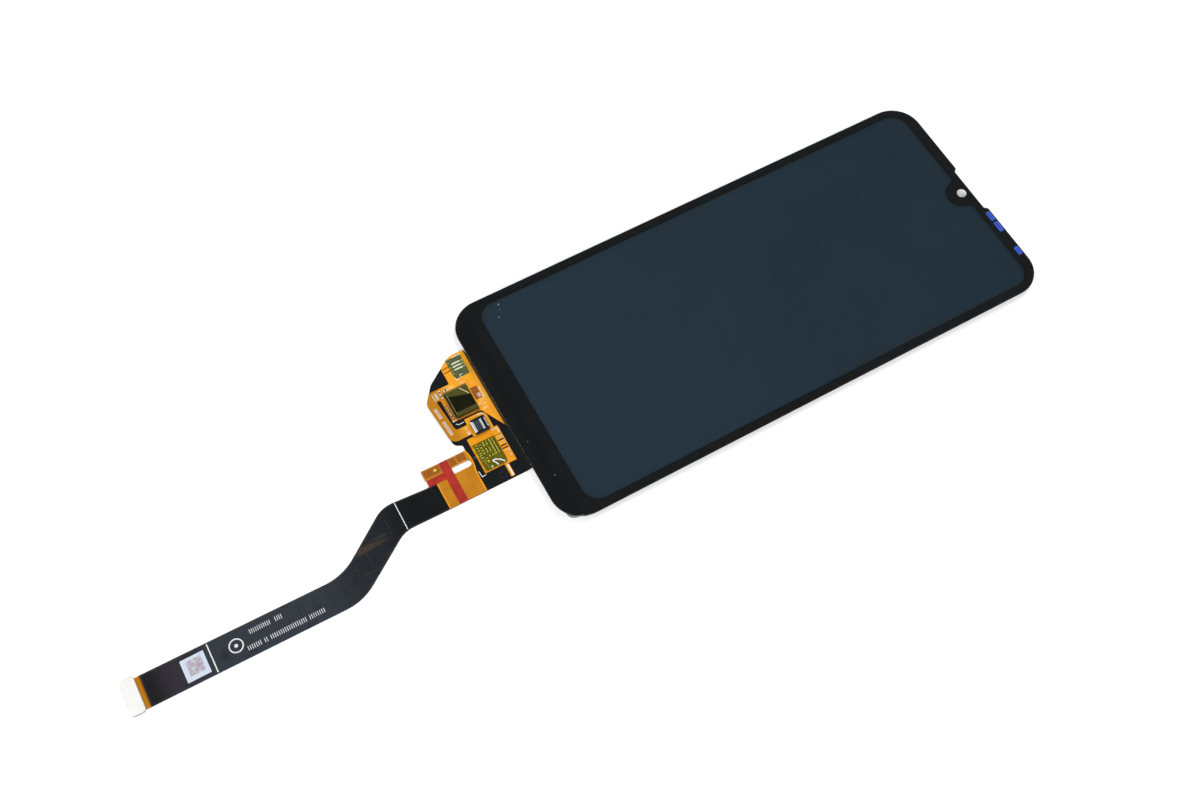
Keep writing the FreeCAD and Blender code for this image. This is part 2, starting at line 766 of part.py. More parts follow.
openRight = s.openLeft + s.openWidth
stripRight = openRight + s.stripWidth
componentOpening = [
    (s.openLeft, below(s.openDrop), s.cutRound),
    (s.openLeft, below(s.openDrop + s.openLength), s.cutRound),
    (s.openLeft + s.openFootWidth, below(s.openDrop + s.openLength), s.cutRound),
    (s.openLeft + s.openFootWidth, below(s.stripDrop + s.stripHeight), 0),
    (stripRight, below(s.stripDrop + s.stripHeight), s.cutRound), (stripRight, below(s.stripDrop), s.cutRound),
    (openRight, below(s.stripDrop), 0), (openRight, below(s.openDrop), s.cutRound)]
filmFootEdge = [(slotRight, below(s.tapeDrop), 0), (s.neckLeft + s.neckWidth, below(s.tapeDrop), 0)]
upperFilmOutline = sharedSlope + hollow + leg + slot + filmFootEdge + head
bentSheet("upper_cover_film", upperFilmOutline, [componentOpening], filmBase, s.coverFilmThick)

tailFilmEnd = tailEnd + s.bareEnd
tailFilmOutline = [(s.neckLeft, below(s.tailFilmDrop), 0)] + elbow + [
    (s.tailEndLeft, tailFilmEnd, 0), (s.tailEndLeft + s.tailEndWidth, tailFilmEnd, 0)] + elbowBack + [
    (s.neckLeft + s.neckWidth, below(s.tailFilmDrop), 0)]
plate("tail_cover_film", [tailFilmOutline], filmBase, s.coverFilmThick)

# Touch circuit: left lobe, island for the chip, slot, and the leg that ends in the connector pad

islandLeft = -s.islandRight - s.islandWidth
slotFoot = s.islandFoot + s.touchSlotHeight + s.touchSlotSlant
legFootY = below(s.touchFootRight)
padFoot = s.padDrop + s.padLength
touchOutline = [
    (s.touchBondRight, touchHead, s.cutRound), (-s.touchBondLeft, touchHead, s.cutRound),
    (-s.touchBondLeft, headY, s.cutRound), (flexLeft, headY, s.flexHeadCorner),
    (flexLeft, below(s.slopeStart), s.slopeStartRound), (-s.lobeRight, below(s.lobeFoot), s.lobeFootRound),
    (islandLeft, below(s.lobeFoot), s.cutRound),
    (islandLeft, below(s.slopeFoot - s.islandNotchRise), s.islandNotchRound),
    (-s.slopeFootX, below(s.slopeFoot), s.slopeFootRound), (-s.legOuter, legFootY, s.touchFootRound),
    (-s.legTopX, below(padFoot), s.cutRound), (s.padRight, below(padFoot), s.cutRound),
    (s.padRight, below(s.padDrop), s.cutRound), (-s.padLeft, below(s.padDrop), s.padCorner),
    (-s.padLeft, below(padFoot), s.cutRound), (-s.legInner, below(padFoot), s.cutRound),
    (-s.legInner, below(slotFoot - s.touchSlotRise), s.touchSlotMouthRound),
    (-s.touchSlotLeft, below(slotFoot), s.touchSlotRound),
    (-s.touchSlotLeft, below(slotFoot - s.touchSlotHeight), s.touchSlotRound),
    (-s.islandFootX, below(s.islandFoot), s.cutRound), (-s.islandRight, below(s.diagonalDrop), s.diagonalRound)]
bentSheet("touch_flex", touchOutline, [], filmTop, touchFlexThick)


def overFilm(label, x, y, base, part, height, level, cut=None):
    # Thin film that lies over a part like a tent: sloping sides outside and inside
    body = newPiece(label)
    baseWidth, baseLength = base
    partWidth, partLength = part
    film, gap = s.overFilmThick, s.overFilmGap
    for wall, kind in ((film, "Additive"), (sized(0), "Subtractive")):
        inset = (film - wall) * 2
        spare = (gap + wall) * 2
        outlines = [block(x, y, baseWidth - inset, baseLength - inset),
                    block(x, y, partWidth + spare, partLength + spare)]
        if cut:
            outlines = [cutCorner(outline, cut) for outline in outlines]
        lower = newSketch(body, level)
        drawOutline(lower, outlines[0])
        upper = newSketch(body, level + height + gap + wall)
        drawOutline(upper, outlines[1])
        loft = body.newObject(f"PartDesign::{kind}Loft", f"{label}_{kind.lower()}")
        loft.Profile = lower
        loft.Sections = [upper]
        loft.Ruled = True
    return body


chipX, chipY = -s.touchChipX, below(s.touchChipDrop)
plate("touch_chip", [block(chipX, chipY, s.touchChipWidth, s.touchChipLength)], touchTop, s.touchChipHeight)
overFilm("chip_cover_film", chipX, chipY,
         (s.touchChipWidth + s.chipFilmSide * 2, s.touchChipLength + s.overFilmFoot * 2),
         (s.touchChipWidth, s.touchChipLength), s.touchChipHeight, touchTop)

lobePads = [block(-s.lobePadX + s.lobePadPitch * step, below(s.lobePadDrop), s.lobePadWidth, s.lobePadLength)
            for step in (-1, 0, 1)]
plate("lobe_pads", lobePads, touchTop, s.padThick, several=True)
lobeFilmOutline = block(-s.lobeFilmX, below(s.lobeFilmDrop), s.lobeFilmWidth, s.lobeFilmLength, s.cutRound)
lobeFilm = bentSheet("lobe_cover_film", lobeFilmOutline, [], touchTop, s.padThick + s.overFilmThick)
pocketUp(lobeFilm, [block(-s.lobePadX, below(s.lobePadDrop), s.lobePadPitch * 3, s.lobePadLength + s.overFilmGap)],
         touchTop, s.padThick)

# Small components: upright ones in two rows, lying ones below, and a few on the touch circuit


def fieldPart(column, drop, lying=False):
    width, length = (s.smallLength, s.smallWidth) if lying else (s.smallWidth, s.smallLength)
    return block(s.fieldX + s.fieldPitch * column, below(drop), width, length)


fieldParts = [fieldPart(column, s.rowOneDrop) for column in range(7)]
fieldParts += [fieldPart(column, s.rowTwoDrop) for column in (0, 1, 3, 4, 6)]
fieldParts += [fieldPart(column, s.rowThreeDrop, lying=True) for column in (1, 3.5, 7)]
fieldParts += [fieldPart(column, s.rowFourDrop, lying=True) for column in (0.5, 3, 5)]
plate("display_passives", fieldParts, filmBase, s.smallHeight, several=True)
overFilm("passives_cover_film", s.fieldFilmX, below(s.fieldFilmDrop), (s.fieldFilmWidth, s.fieldFilmLength),
         (s.fieldFilmWidth - s.fieldFilmSlope * 2, s.fieldFilmLength - s.fieldFilmSlope * 2), s.smallHeight, filmBase,
         s.fieldFilmCut)

touchParts = [block(-s.touchPartX + s.touchPartPitch * step, below(s.touchPartDrop), s.smallLength, s.smallWidth)
              for step in (0, 1)]
touchParts.append(block(-s.touchPartX, below(s.sidePartDrop), s.smallWidth, s.smallLength))
plate("touch_passives", touchParts, touchTop, s.smallHeight, several=True)
plate("ground_strip", [block(openRight + s.stripWidth / 2, below(s.stripDrop + s.stripLine),
                             s.stripWidth - s.cutRound * 2, s.stripLine)], filmBase, s.stripThick)

# Small connector: a moulded housing with a tongue in its well, one row of contacts and two bars

socketX, socketY = -s.socketX, below(s.socketDrop)
socket = newPiece("flex_connector")
padUp(socket, [block(socketX, socketY, s.socketWidth, s.socketLength, s.socketCorner)], touchTop, s.socketHeight)
wellBase = touchTop + s.socketFloor
tongueY = socketY - s.tongueShift
pocketUp(socket, [block(socketX, socketY, s.socketWidth - s.socketWall * 2, s.socketLength - s.socketWall * 2,
                        s.cutRound),
                  block(socketX, tongueY, s.tongueWidth, s.tongueLength, s.cutRound)],
         wellBase, s.socketHeight - s.socketFloor)
rowY = tongueY + s.tongueLength / 2 + s.pinLength / 2
pins = [block(socketX - s.pinPitch * ((s.pinCount - 1) / 2) + s.pinPitch * step, rowY, s.pinWidth, s.pinLength)
        for step in range(int(s.pinCount.value))]
barY = tongueY - s.tongueLength / 2 - s.barLength / 2
pins.append(block(socketX, barY, s.tongueWidth, s.barLength))
plate("connector_contacts", pins, wellBase, s.pinRise, several=True)

# Joint sheet that laps from the upper part to the tail, with its tab, tape and gold dot

jointRise = s.jointHeadDrop - s.jointWave
tabRight = s.tabLeft + s.tabWidth
tabHead = s.tapeDrop + s.tapeBar
jointOutline = [
    (s.legLeft, below(s.jointHeadDrop), s.cutRound), (s.tabLeft + s.cutRound / 2, below(tabHead), 0),
    (s.tabLeft, below(s.tabDrop), s.cutRound), (tabRight, below(s.tabDrop), s.cutRound),
    (tabRight, below(tabHead), 0), (legRight, below(tabHead), 0)] + slot + [
    (s.neckLeft, below(s.jointFootDrop), 0), (s.jointRight, below(s.jointFootDrop), s.cutRound),
    (s.jointRight, below(s.jointHeadDrop), s.cutRound), (s.jointWaveEnd, below(s.jointHeadDrop), s.jointWaveRound),
    (s.jointWaveRight, below(jointRise), s.jointWaveRound), (s.jointWaveLeft, below(jointRise), s.jointWaveRound)]
plate("joint_flex", [jointOutline], filmTop, s.jointThick)
jointTop = filmTop + s.jointThick

tapeLegRight = s.tapeLegLeft + s.tapeLegWidth
tapeOutline = [
    (s.legLeft, below(s.tapeDrop), 0), (s.legLeft, below(tabHead), 0), (s.tapeLegLeft, below(tabHead), 0),
    (s.tapeLegLeft, below(s.tapeLegDrop), 0), (tapeLegRight, below(s.tapeLegDrop), 0),
    (tapeLegRight, below(tabHead), 0), (s.jointRight, below(tabHead), 0), (s.jointRight, below(s.tapeDrop), 0)]
plate("red_tape", [tapeOutline], jointTop, s.redTapeThick)
plate("tab_pad", [(s.dotX, below(s.dotDrop), s.dotWidth / 2)], jointTop, s.padThick)
plate("tail_label", [block(s.labelX, below(s.labelDrop), s.labelSize, s.labelSize)], filmTop, s.labelThick)

# Plug on the tail end, under a cap whose skirt comes down round the circuit

capFoot = tailEnd - s.capWall * 2
capY = capFoot + s.capLength / 2
capTop = s.capFloorGap + s.capHeight
plugTop = capTop - s.capWall - s.capFlexGap
wallTwice = s.capWall * 2
cap = newPiece("plug_cap")
capPad = padUp(cap, [block(s.capX, capY, s.capWidth, s.capLength, s.capCorner)], s.capFloorGap, s.capHeight)
dressEdges(cap, "Fillet", capPad, capTop, "Radius", s.capRound)
pocketUp(cap, [block(s.capX, capY, s.capWidth - wallTwice, s.capLength - wallTwice, s.capCorner - s.capWall)],
         s.capFloorGap, s.capHeight - s.capWall)
pocketUp(cap, [block(s.capX, capY + s.capLength / 2, s.capWidth - wallTwice, s.capLength)],
         s.capFloorGap, s.displayFlexThick - s.capFloorGap + s.capFlexGap)

plugX = s.tailEndLeft + s.tailEndWidth / 2
plug = newPiece("tail_plug")
padUp(plug, [block(plugX, capY, s.plugWidth, s.plugLength, s.plugCorner)], filmBase, plugTop - filmBase)
plugWell = plugTop - s.plugWellDepth
pocketUp(plug, [block(plugX, capY, s.plugWidth - s.plugWall * 2, s.plugLength - s.plugWall * 2, s.cutRound)],
         plugWell, s.plugWellDepth)
plugPins = []
for side in (-1, 1):
    pinY = capY + (s.plugLength / 2 - s.plugWall - s.plugPinLength / 2) * side
    plugPins += [block(plugX - s.plugPinPitch * ((s.plugPinCount - 1) / 2) + s.plugPinPitch * step, pinY,
                       s.plugPinWidth, s.plugPinLength) for step in range(int(s.plugPinCount.value))]
plate("plug_contacts", plugPins, plugWell, s.plugWellDepth / 2, several=True)

# Rebuild, test and write each piece

doc.recompute()
for item in doc.Objects:
    if "Invalid" in item.State or "Error" in item.State:
        raise RuntimeError(f"{item.Label} failed: {item.State}")
for piece in pieces:
    shape = piece.Shape
    if shape.isNull() or not shape.isValid() or shape.Volume <= 0:
        raise RuntimeError(f"{piece.Label} has no sound shape")
    shape.exportStep(f"parts/{piece.Label}.step")
    print(f"{piece.Label}: {len(shape.Solids)} solid(s), {shape.Volume:.3f} mm3")
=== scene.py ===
import math

import bmesh
import bpy
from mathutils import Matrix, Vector


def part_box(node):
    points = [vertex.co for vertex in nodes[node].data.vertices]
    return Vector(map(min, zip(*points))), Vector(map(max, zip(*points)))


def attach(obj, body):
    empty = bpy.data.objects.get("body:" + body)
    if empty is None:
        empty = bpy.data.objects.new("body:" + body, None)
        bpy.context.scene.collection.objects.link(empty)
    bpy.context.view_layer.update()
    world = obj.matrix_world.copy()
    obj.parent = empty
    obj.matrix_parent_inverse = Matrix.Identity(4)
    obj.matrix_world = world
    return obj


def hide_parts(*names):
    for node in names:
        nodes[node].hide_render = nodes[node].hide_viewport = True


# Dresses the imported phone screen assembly: clear glass, printed inks, films, flexible circuits and marks.
# Sizes in the dictionaries are millimetres in the frame's own axes; mm turns them to metres.

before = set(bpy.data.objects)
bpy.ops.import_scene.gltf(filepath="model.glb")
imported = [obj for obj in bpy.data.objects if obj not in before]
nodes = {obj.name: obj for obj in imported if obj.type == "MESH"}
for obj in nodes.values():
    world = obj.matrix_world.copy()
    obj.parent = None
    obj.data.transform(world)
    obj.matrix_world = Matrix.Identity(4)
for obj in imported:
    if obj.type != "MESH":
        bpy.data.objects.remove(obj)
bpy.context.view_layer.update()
mm = 0.001
print("frame loaded:", len(nodes), "nodes")


# Small tools

def linear(hexColour):
    # sRGB hex to the linear colour that Blender mixes
    parts = [int(hexColour[i:i + 2], 16) / 255 for i in (1, 3, 5)]
    return (*[c / 12.92 if c <= 0.04045 else ((c + 0.055) / 1.055) ** 2.4 for c in parts], 1.0)


def addNode(tree, kind, inputs={}, settings={}):
    # One node with its settings. An input gets a number, a hex colour, a socket, or the live output of a node
    node = tree.nodes.new("ShaderNode" + kind)
    for name, value in settings.items():
        setattr(node, name, value)
    for name, value in inputs.items():
        if isinstance(value, bpy.types.Node):
            value = next(socket for socket in value.outputs if socket.enabled)
        if isinstance(value, bpy.types.NodeSocket):
            tree.links.new(value, node.inputs[name])
        else:
            node.inputs[name].default_value = linear(value) if isinstance(value, str) else value
    return node


# Settings that several nodes share. A smooth range takes its value at 0, the limits at 1 and 2, and what it
# gives at them at 3 and 4; a mix takes its share at 0 and its two colours at 6 and 7
smooth = {"interpolation_type": "SMOOTHSTEP"}
twoColours = {"data_type": "RGBA"}
larger = {"operation": "MAXIMUM"}
product = {"operation": "MULTIPLY"}


def startMaterial(name):
    # Patterns are set out in millimetres from the object's own coordinates
    material = bpy.data.materials.new(name)
    material.use_nodes = True
    tree = material.node_tree
    tree.nodes.clear()
    place = addNode(tree, "TexCoord").outputs["Object"]
    return material, tree, addNode(tree, "VectorMath", {0: place, "Scale": 1 / mm}, {"operation": "SCALE"})


def closeMaterial(tree, shader):
    addNode(tree, "OutputMaterial", {"Surface": shader})


def uprightShare(tree, normal):
    # 1 on faces that lie flat, 0 on standing ones
    facing = addNode(tree, "SeparateXYZ", {0: addNode(tree, "NewGeometry").outputs[normal]})
    return addNode(tree, "Math", {0: facing.outputs[2]}, {"operation": "ABSOLUTE"})


def patchShare(tree, inMm, size, detail, low, high, first=0.0, last=1.0):
    # Soft patches about this many millimetres across, as a share that runs from first to last
    patches = addNode(tree, "TexNoise", {"Vector": inMm, "Scale": 1 / size, "Detail": detail})
    return addNode(tree, "MapRange", {0: patches, 1: low, 2: high, 3: first, 4: last}, smooth)


def grainSurface(look):
    # Two tones in soft patches, a finer grain in the roughness, and the same grain as relief
    material, tree, inMm = startMaterial(look["name"])
    patches = patchShare(tree, inMm, look["patch"], 3.0, 0.35, 0.65)
    tone = addNode(tree, "Mix", {0: patches, 6: look["tones"][0], 7: look["tones"][1]}, twoColours)
    # An edge colour, where given, is painted shade on the standing faces
    if "edge" in look:
        side = addNode(tree, "MapRange", {0: uprightShare(tree, "True Normal"), 1: 0.95, 2: 0.4}, smooth)
        tone = addNode(tree, "Mix", {0: side, 6: tone, 7: look["edge"]}, twoColours)
    grain = addNode(tree, "TexNoise", {
        "Vector": inMm, "Scale": 1 / look["grain"], "Detail": 5.0, "Roughness": 0.6})
    bump = addNode(tree, "Bump", {"Strength": 1.0, "Distance": look["relief"] * mm, "Height": grain})
    low, high = look["roughness"]
    rough = addNode(tree, "MapRange", {0: grain, 1: 0.3, 2: 0.7, 3: low, 4: high}, smooth)
    inputs = {"Base Color": tone, "Roughness": rough, "Normal": bump}
    for key, name in (("metallic", "Metallic"), ("ior", "IOR"), ("gloss", "Specular IOR Level")):
        if key in look:
            inputs[name] = look[key]
    closeMaterial(tree, addNode(tree, "BsdfPrincipled", inputs))
    return material


# Flat shapes: an outline is a list of (x, y), a slab raises it from a low level to a high one

def boxOutline(x0, x1, y0, y1, radius=0.0, steps=4):
    if not radius:
        return [(x0, y0), (x1, y0), (x1, y1), (x0, y1)]
    centres = [(x1 - radius, y1 - radius, 0), (x0 + radius, y1 - radius, 90),
               (x0 + radius, y0 + radius, 180), (x1 - radius, y0 + radius, 270)]
    return [(x + radius * math.cos(math.radians(start + 90 * i / steps)),
             y + radius * math.sin(math.radians(start + 90 * i / steps)))
            for x, y, start in centres for i in range(steps + 1)]


def discOutline(x, y, radius, count=20):
    return [(x + radius * math.cos(math.tau * i / count), y + radius * math.sin(math.tau * i / count))
            for i in range(count)]


def strokeOutline(points, width, steps=5):
    # A line of even width with round ends
    points = [Vector(point) for point in points]
    half = width / 2
    sides = []
    for i, point in enumerate(points):
        ahead = (points[min(i + 1, len(points) - 1)] - point).normalized()
        back = (point - points[max(i - 1, 0)]).normalized()
        along = (ahead + back).normalized()
        sharpness = max(along.dot(ahead if ahead.length else back), 0.35)
        sides.append(Vector((-along.y, along.x)) * (half / sharpness))
    left = [point + side for point, side in zip(points, sides)]
    right = [point - side for point, side in zip(points, sides)]

    def cap(centre, side):
        start = math.atan2(side.y, side.x)
        turns = [start - math.pi * i / steps for i in range(1, steps)]
        return [centre + Vector((math.cos(turn), math.sin(turn))) * half for turn in turns]

    return [tuple(p) for p in left + cap(points[-1], sides[-1]) + right[::-1] + cap(points[0], -sides[0])]


def smoothLine(points, steps=6):
    # Rounds a given line with quadratic curves through its midpoints
    points = [Vector(point) for point in points]
    line = [points[0]]
    for before, here, after in zip(points, points[1:], points[2:]):
        start, end = (before + here) / 2, (here + after) / 2
        line += [start.lerp(here, i / steps).lerp(here.lerp(end, i / steps), i / steps)
                 for i in range(steps + 1)]
    return line + [points[-1]]


def dashRow(start, end, count, length, width, gaps=()):
    # Plain dashes set across a line, in place of printed characters; gaps are dashes left out
    start, end = Vector(start), Vector(end)
    along = (end - start).normalized()
    across = Vector((-along.y, along.x)) * (length / 2)
    places = [start.lerp(end, i / (count - 1)) for i in range(count) if i not in gaps]
    return [strokeOutline([place - across, place + across], width, steps=2) for place in places]


def addSlab(mesh, outline, low, high):
    bottom = [mesh.verts.new((x * mm, y * mm, low * mm)) for x, y in outline]
    top = [mesh.verts.new((x * mm, y * mm, high * mm)) for x, y in outline]
    count = len(outline)
    mesh.faces.new(top)
    mesh.faces.new(bottom[::-1])
    for i in range(count):
        mesh.faces.new((bottom[i], bottom[(i + 1) % count], top[(i + 1) % count], top[i]))


def addRing(mesh, x, y, outer, inner, low, high, count=48):
    loops = [[mesh.verts.new(((x + r * math.cos(math.tau * i / count)) * mm,
                              (y + r * math.sin(math.tau * i / count)) * mm, z * mm)) for i in range(count)]
             for r, z in ((outer, low), (outer, high), (inner, high), (inner, low))]
    for a, b in zip(loops, loops[1:] + loops[:1]):
        for i in range(count):
            mesh.faces.new((a[i], a[(i + 1) % count], b[(i + 1) % count], b[i]))


def addBlock(mesh, low, high, bevel, index=0):
    # Rounded block between two corners, in metres
    before = set(mesh.faces)
    corners = bmesh.ops.create_cube(mesh, size=1.0)["verts"]
    for vert in corners:
        vert.co = Vector([low[i] + (vert.co[i] + 0.5) * (high[i] - low[i]) for i in range(3)])
    edges = list({edge for vert in corners for edge in vert.link_edges})
    bmesh.ops.bevel(mesh, geom=edges, offset=bevel * mm, segments=2, affect="EDGES", profile=0.6)
    for face in set(mesh.faces) - before:
        face.material_index = index
        face.smooth = True


def finishPiece(name, mesh, finishKeys, replaced=()):
    bmesh.ops.recalc_face_normals(mesh, faces=mesh.faces)
    bmesh.ops.triangulate(mesh, faces=[face for face in mesh.faces if len(face.verts) > 4])
    data = bpy.data.meshes.new(name)
    mesh.to_mesh(data)
    mesh.free()
    piece = bpy.data.objects.new(name, data)
    bpy.context.scene.collection.objects.link(piece)
    for key in finishKeys:
        data.materials.append(made[key])
    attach(piece, "root")
    if replaced:
        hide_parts(*replaced)


def addMarks(name, outlines, base, height, finish):
    # One thin piece from many flat marks that lie at the same level
    mesh = bmesh.new()
    for outline in outlines:
        addSlab(mesh, outline, base, base + height)
    finishPiece(name, mesh, [finish])


def thinnedCopy(name, layers, finish):
    # Copy of one CAD layer, or one slab for a stack of them, a few thousandths thinner, so that no
    # see-through face lies on another face
    mesh = bmesh.new()
    mesh.from_mesh(nodes[layers[len(layers) // 2]].data)
    low = min(vert.co.z for vert in mesh.verts)
    high = max(vert.co.z for vert in mesh.verts)
    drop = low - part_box(layers[0])[0].z
    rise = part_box(layers[-1])[1].z - high
    for vert in mesh.verts:
        vert.co.z += rise - play * mm if vert.co.z > (low + high) / 2 else play * mm - drop
    finishPiece(name, mesh, [finish], layers)


def solidBoxes(node):
    # Corners of each separate solid of a CAD node
    mesh = bmesh.new()
    mesh.from_mesh(nodes[node].data)
    bmesh.ops.remove_doubles(mesh, verts=mesh.verts, dist=1e-6)
    left, boxes = set(mesh.verts), []
    while left:
        edge = [left.pop()]
        found = list(edge)
        while edge:
            near = {other for vert in edge for link in vert.link_edges for other in link.verts} & left
            left -= near
            edge = list(near)
            found += edge
        boxes.append([[pick(vert.co[i] for vert in found) for i in range(3)] for pick in (min, max)])
    mesh.free()
    return sorted(boxes)


def topOf(node):
    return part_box(node)[1].z / mm


# Levels that marks and films lie on
flexTop = 0.31  # touch circuit on the table
boardTop = 0.12  # bare display circuit
play = 0.006  # left between see-through faces
filmTop = topOf("tail_cover_film")
jointTop = topOf("joint_flex")


# Materials

def makeCoverGlass():
    # Fusion-drawn aluminosilicate glass, ground and polished: deep and wet-looking, with a bright thread of
    # light along its rounded edge
    look = {"ior": 1.51, "smudge": 9.0, "smudgeRoughness": 0.02, "bondedBelow": 0.03}
    material, tree, inMm = startMaterial("polishedCoverGlass")
    smudge = patchShare(tree, inMm, look["smudge"], 3.0, 0.4, 0.75, 0.0, look["smudgeRoughness"])
    glass = addNode(tree, "BsdfPrincipled", {
        "Base Color": "#FBFDFC", "IOR": look["ior"], "Transmission Weight": 1.0, "Roughness": smudge})
    clear = addNode(tree, "BsdfTransparent", {"Color": "#FDFEFE"})
    # The back face is bonded to the layers below, so it neither bends nor mirrors light
    height = addNode(tree, "SeparateXYZ", {0: inMm}).outputs[2]
    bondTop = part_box("cover_glass")[0].z / mm + look["bondedBelow"]
    bonded = addNode(tree, "Math", {0: height, 1: bondTop}, {"operation": "LESS_THAN"})
    # Soft light and shadow pass straight through, so that the layers below are lit evenly
    rays = addNode(tree, "LightPath").outputs
    soft = addNode(tree, "Math", {0: rays["Is Shadow Ray"], 1: rays["Is Diffuse Ray"]}, larger)
    either = addNode(tree, "Math", {0: bonded, 1: soft}, larger)
    closeMaterial(tree, addNode(tree, "MixShader", {0: either, 1: glass, 2: clear}))
    return material


def makeClearBond():
    # Optically clear adhesive and film: seen only as a faint gloss on their cut edges
    material, tree, inMm = startMaterial("clearBondedFilm")
    clear = addNode(tree, "BsdfTransparent", {"Color": "#FDFEFD"})
    cloud = addNode(tree, "TexNoise", {"Vector": inMm, "Scale": 0.5, "Detail": 3.0})
    tone = addNode(tree, "Mix", {0: cloud, 6: "#E9EEF0", 7: "#D5DDE2"}, twoColours)
    edge = addNode(tree, "BsdfPrincipled", {"Roughness": 0.2, "IOR": 1.48, "Base Color": tone})
    flat = uprightShare(tree, "Normal")
    share = addNode(tree, "MapRange", {0: flat, 1: 0.3, 2: 0.9, 3: 0.35, 4: 0.0}, smooth)
    closeMaterial(tree, addNode(tree, "MixShader", {0: share, 1: clear, 2: edge}))
    return material


def makePolariser():
    # Laminated iodine polariser over a dark cell: deep blue-grey, with painted light making it a shade lighter
    # towards the foot
    look = {"head": "#1A2B38", "foot": "#20313F", "cloudy": "#213240", "headY": 76.0, "footY": -70.0,
            "cloud": 40.0, "cloudShare": 0.35, "grain": 0.25}
    material, tree, inMm = startMaterial("laminatedPolariser")
    along = addNode(tree, "SeparateXYZ", {0: inMm}).outputs[1]
    slope = addNode(tree, "MapRange", {0: along, 1: look["footY"], 2: look["headY"]}, smooth)
    tone = addNode(tree, "Mix", {0: slope, 6: look["foot"], 7: look["head"]}, twoColours)
    cloud = patchShare(tree, inMm, look["cloud"], 1.0, 0.35, 0.65, 0.0, look["cloudShare"])
    tone = addNode(tree, "Mix", {0: cloud, 6: tone, 7: look["cloudy"]}, twoColours)
    rough = patchShare(tree, inMm, look["grain"], 2.0, 0.3, 0.7, 0.45, 0.6)
    closeMaterial(tree, addNode(tree, "BsdfPrincipled", {
        "IOR": 1.5, "Specular IOR Level": 0.0, "Base Color": tone, "Roughness": rough}))
    return material


def makePolyimide(look):
    # Amber polyimide coverlay over etched copper: copper fields glow orange, gaps between tracks are browner
    material, tree, inMm = startMaterial(look["name"])
    along = addNode(tree, "SeparateXYZ", {0: inMm}).outputs[1]
    # A wave's bands repeat every 0.314 units at a scale of 1
    tracks = addNode(tree, "TexWave", {
        "Vector": inMm, "Scale": 0.314 / look["pitch"], "Distortion": 1.5, "Detail": 1.0},
        {"bands_direction": look["tracks"]}).outputs[1]
    cloud = patchShare(tree, inMm, look["cloud"], 3.0, 0.3, 0.7)
    tone = addNode(tree, "Mix", {0: cloud, 6: look["bright"], 7: look["mid"]}, twoColours)
    lines = addNode(tree, "MapRange", {0: tracks, 1: 0.35, 2: 0.65, 4: look["trackShare"]}, smooth)
    tone = addNode(tree, "Mix", {0: lines, 6: tone, 7: look["deep"]}, twoColours)
    for start, end, colour in look["fades"]:
        share = addNode(tree, "MapRange", {0: along, 1: start, 2: end}, smooth)
        tone = addNode(tree, "Mix", {0: share, 6: tone, 7: colour}, twoColours)
    # Standing cut faces are painted: dark as painted shade by the screen, pale as a painted highlight along
    # the tail
    share = addNode(tree, "MapRange", {0: along, 1: -104.0, 2: -112.0}, smooth)
    edge = addNode(tree, "Mix", {0: share, 6: look["edge"], 7: "#66707A"}, twoColours)
    side = addNode(tree, "MapRange", {0: uprightShare(tree, "Normal"), 1: 0.5, 2: 0.2}, smooth)
    tone = addNode(tree, "Mix", {0: side, 6: tone, 7: edge}, twoColours)
    bump = addNode(tree, "Bump", {"Strength": 0.6, "Distance": 0.01 * mm, "Height": tracks})
    rough = patchShare(tree, inMm, 0.6, 3.0, 0.3, 0.7, 0.3, 0.45)
    closeMaterial(tree, addNode(tree, "BsdfPrincipled", {
        "IOR": 1.6, "Specular IOR Level": 0.25, "Base Color": tone, "Normal": bump, "Roughness": rough}))
    return material


def makeBlackFilm(look):
    # Black polyimide cover film, hot-pressed: satin blue-black; the tail's soft sheen is painted into its
    # colour by the fades
    material, tree, inMm = startMaterial(look["name"])
    along = addNode(tree, "SeparateXYZ", {0: inMm}).outputs[1]
    tone = look["base"]
    for start, end, colour in look["fades"]:
        share = addNode(tree, "MapRange", {0: along, 1: start, 2: end}, smooth)
        tone = addNode(tree, "Mix", {0: share, 6: tone, 7: colour}, twoColours)
    cloud = patchShare(tree, inMm, 4.5, 4.0, 0.52, 0.72, 0.0, look["cloudShare"])
    tone = addNode(tree, "Mix", {0: cloud, 6: tone, 7: look["cloud"]}, twoColours)
    if "streaks" in look:
        streaks = look["streaks"]
        turned = addNode(tree, "Mapping", {
            "Vector": inMm, "Rotation": (0.0, 0.0, streaks["turn"]), "Scale": (1.0, streaks["stretch"], 1.0)})
        bands = patchShare(tree, turned, streaks["size"], 3.0, 0.5, 0.7)
        (low, lowFull), (highFull, high) = streaks["from"], streaks["to"]
        rising = addNode(tree, "MapRange", {0: along, 1: low, 2: lowFull}, smooth)
        falling = addNode(tree, "MapRange", {0: along, 1: highFull, 2: high, 3: 1.0, 4: 0.0}, smooth)
        inside = addNode(tree, "Math", {0: rising, 1: falling}, product)
        share = addNode(tree, "Math", {0: bands, 1: inside}, product)
        share = addNode(tree, "Math", {0: share, 1: streaks["share"]}, product)
        tone = addNode(tree, "Mix", {0: share, 6: tone, 7: streaks["colour"]}, twoColours)
    weave = addNode(tree, "TexNoise", {"Vector": inMm, "Scale": 1 / 0.3, "Detail": 4.0, "Roughness": 0.6})
    bump = addNode(tree, "Bump", {"Strength": 0.5, "Distance": 0.006 * mm, "Height": weave})
    rough = addNode(tree, "MapRange", {0: weave, 1: 0.3, 2: 0.7, 3: 0.42, 4: 0.55}, smooth)
    closeMaterial(tree, addNode(tree, "BsdfPrincipled", {
        "IOR": 1.6, "Specular IOR Level": 0.2, "Base Color": tone, "Roughness": rough, "Normal": bump}))
    return material


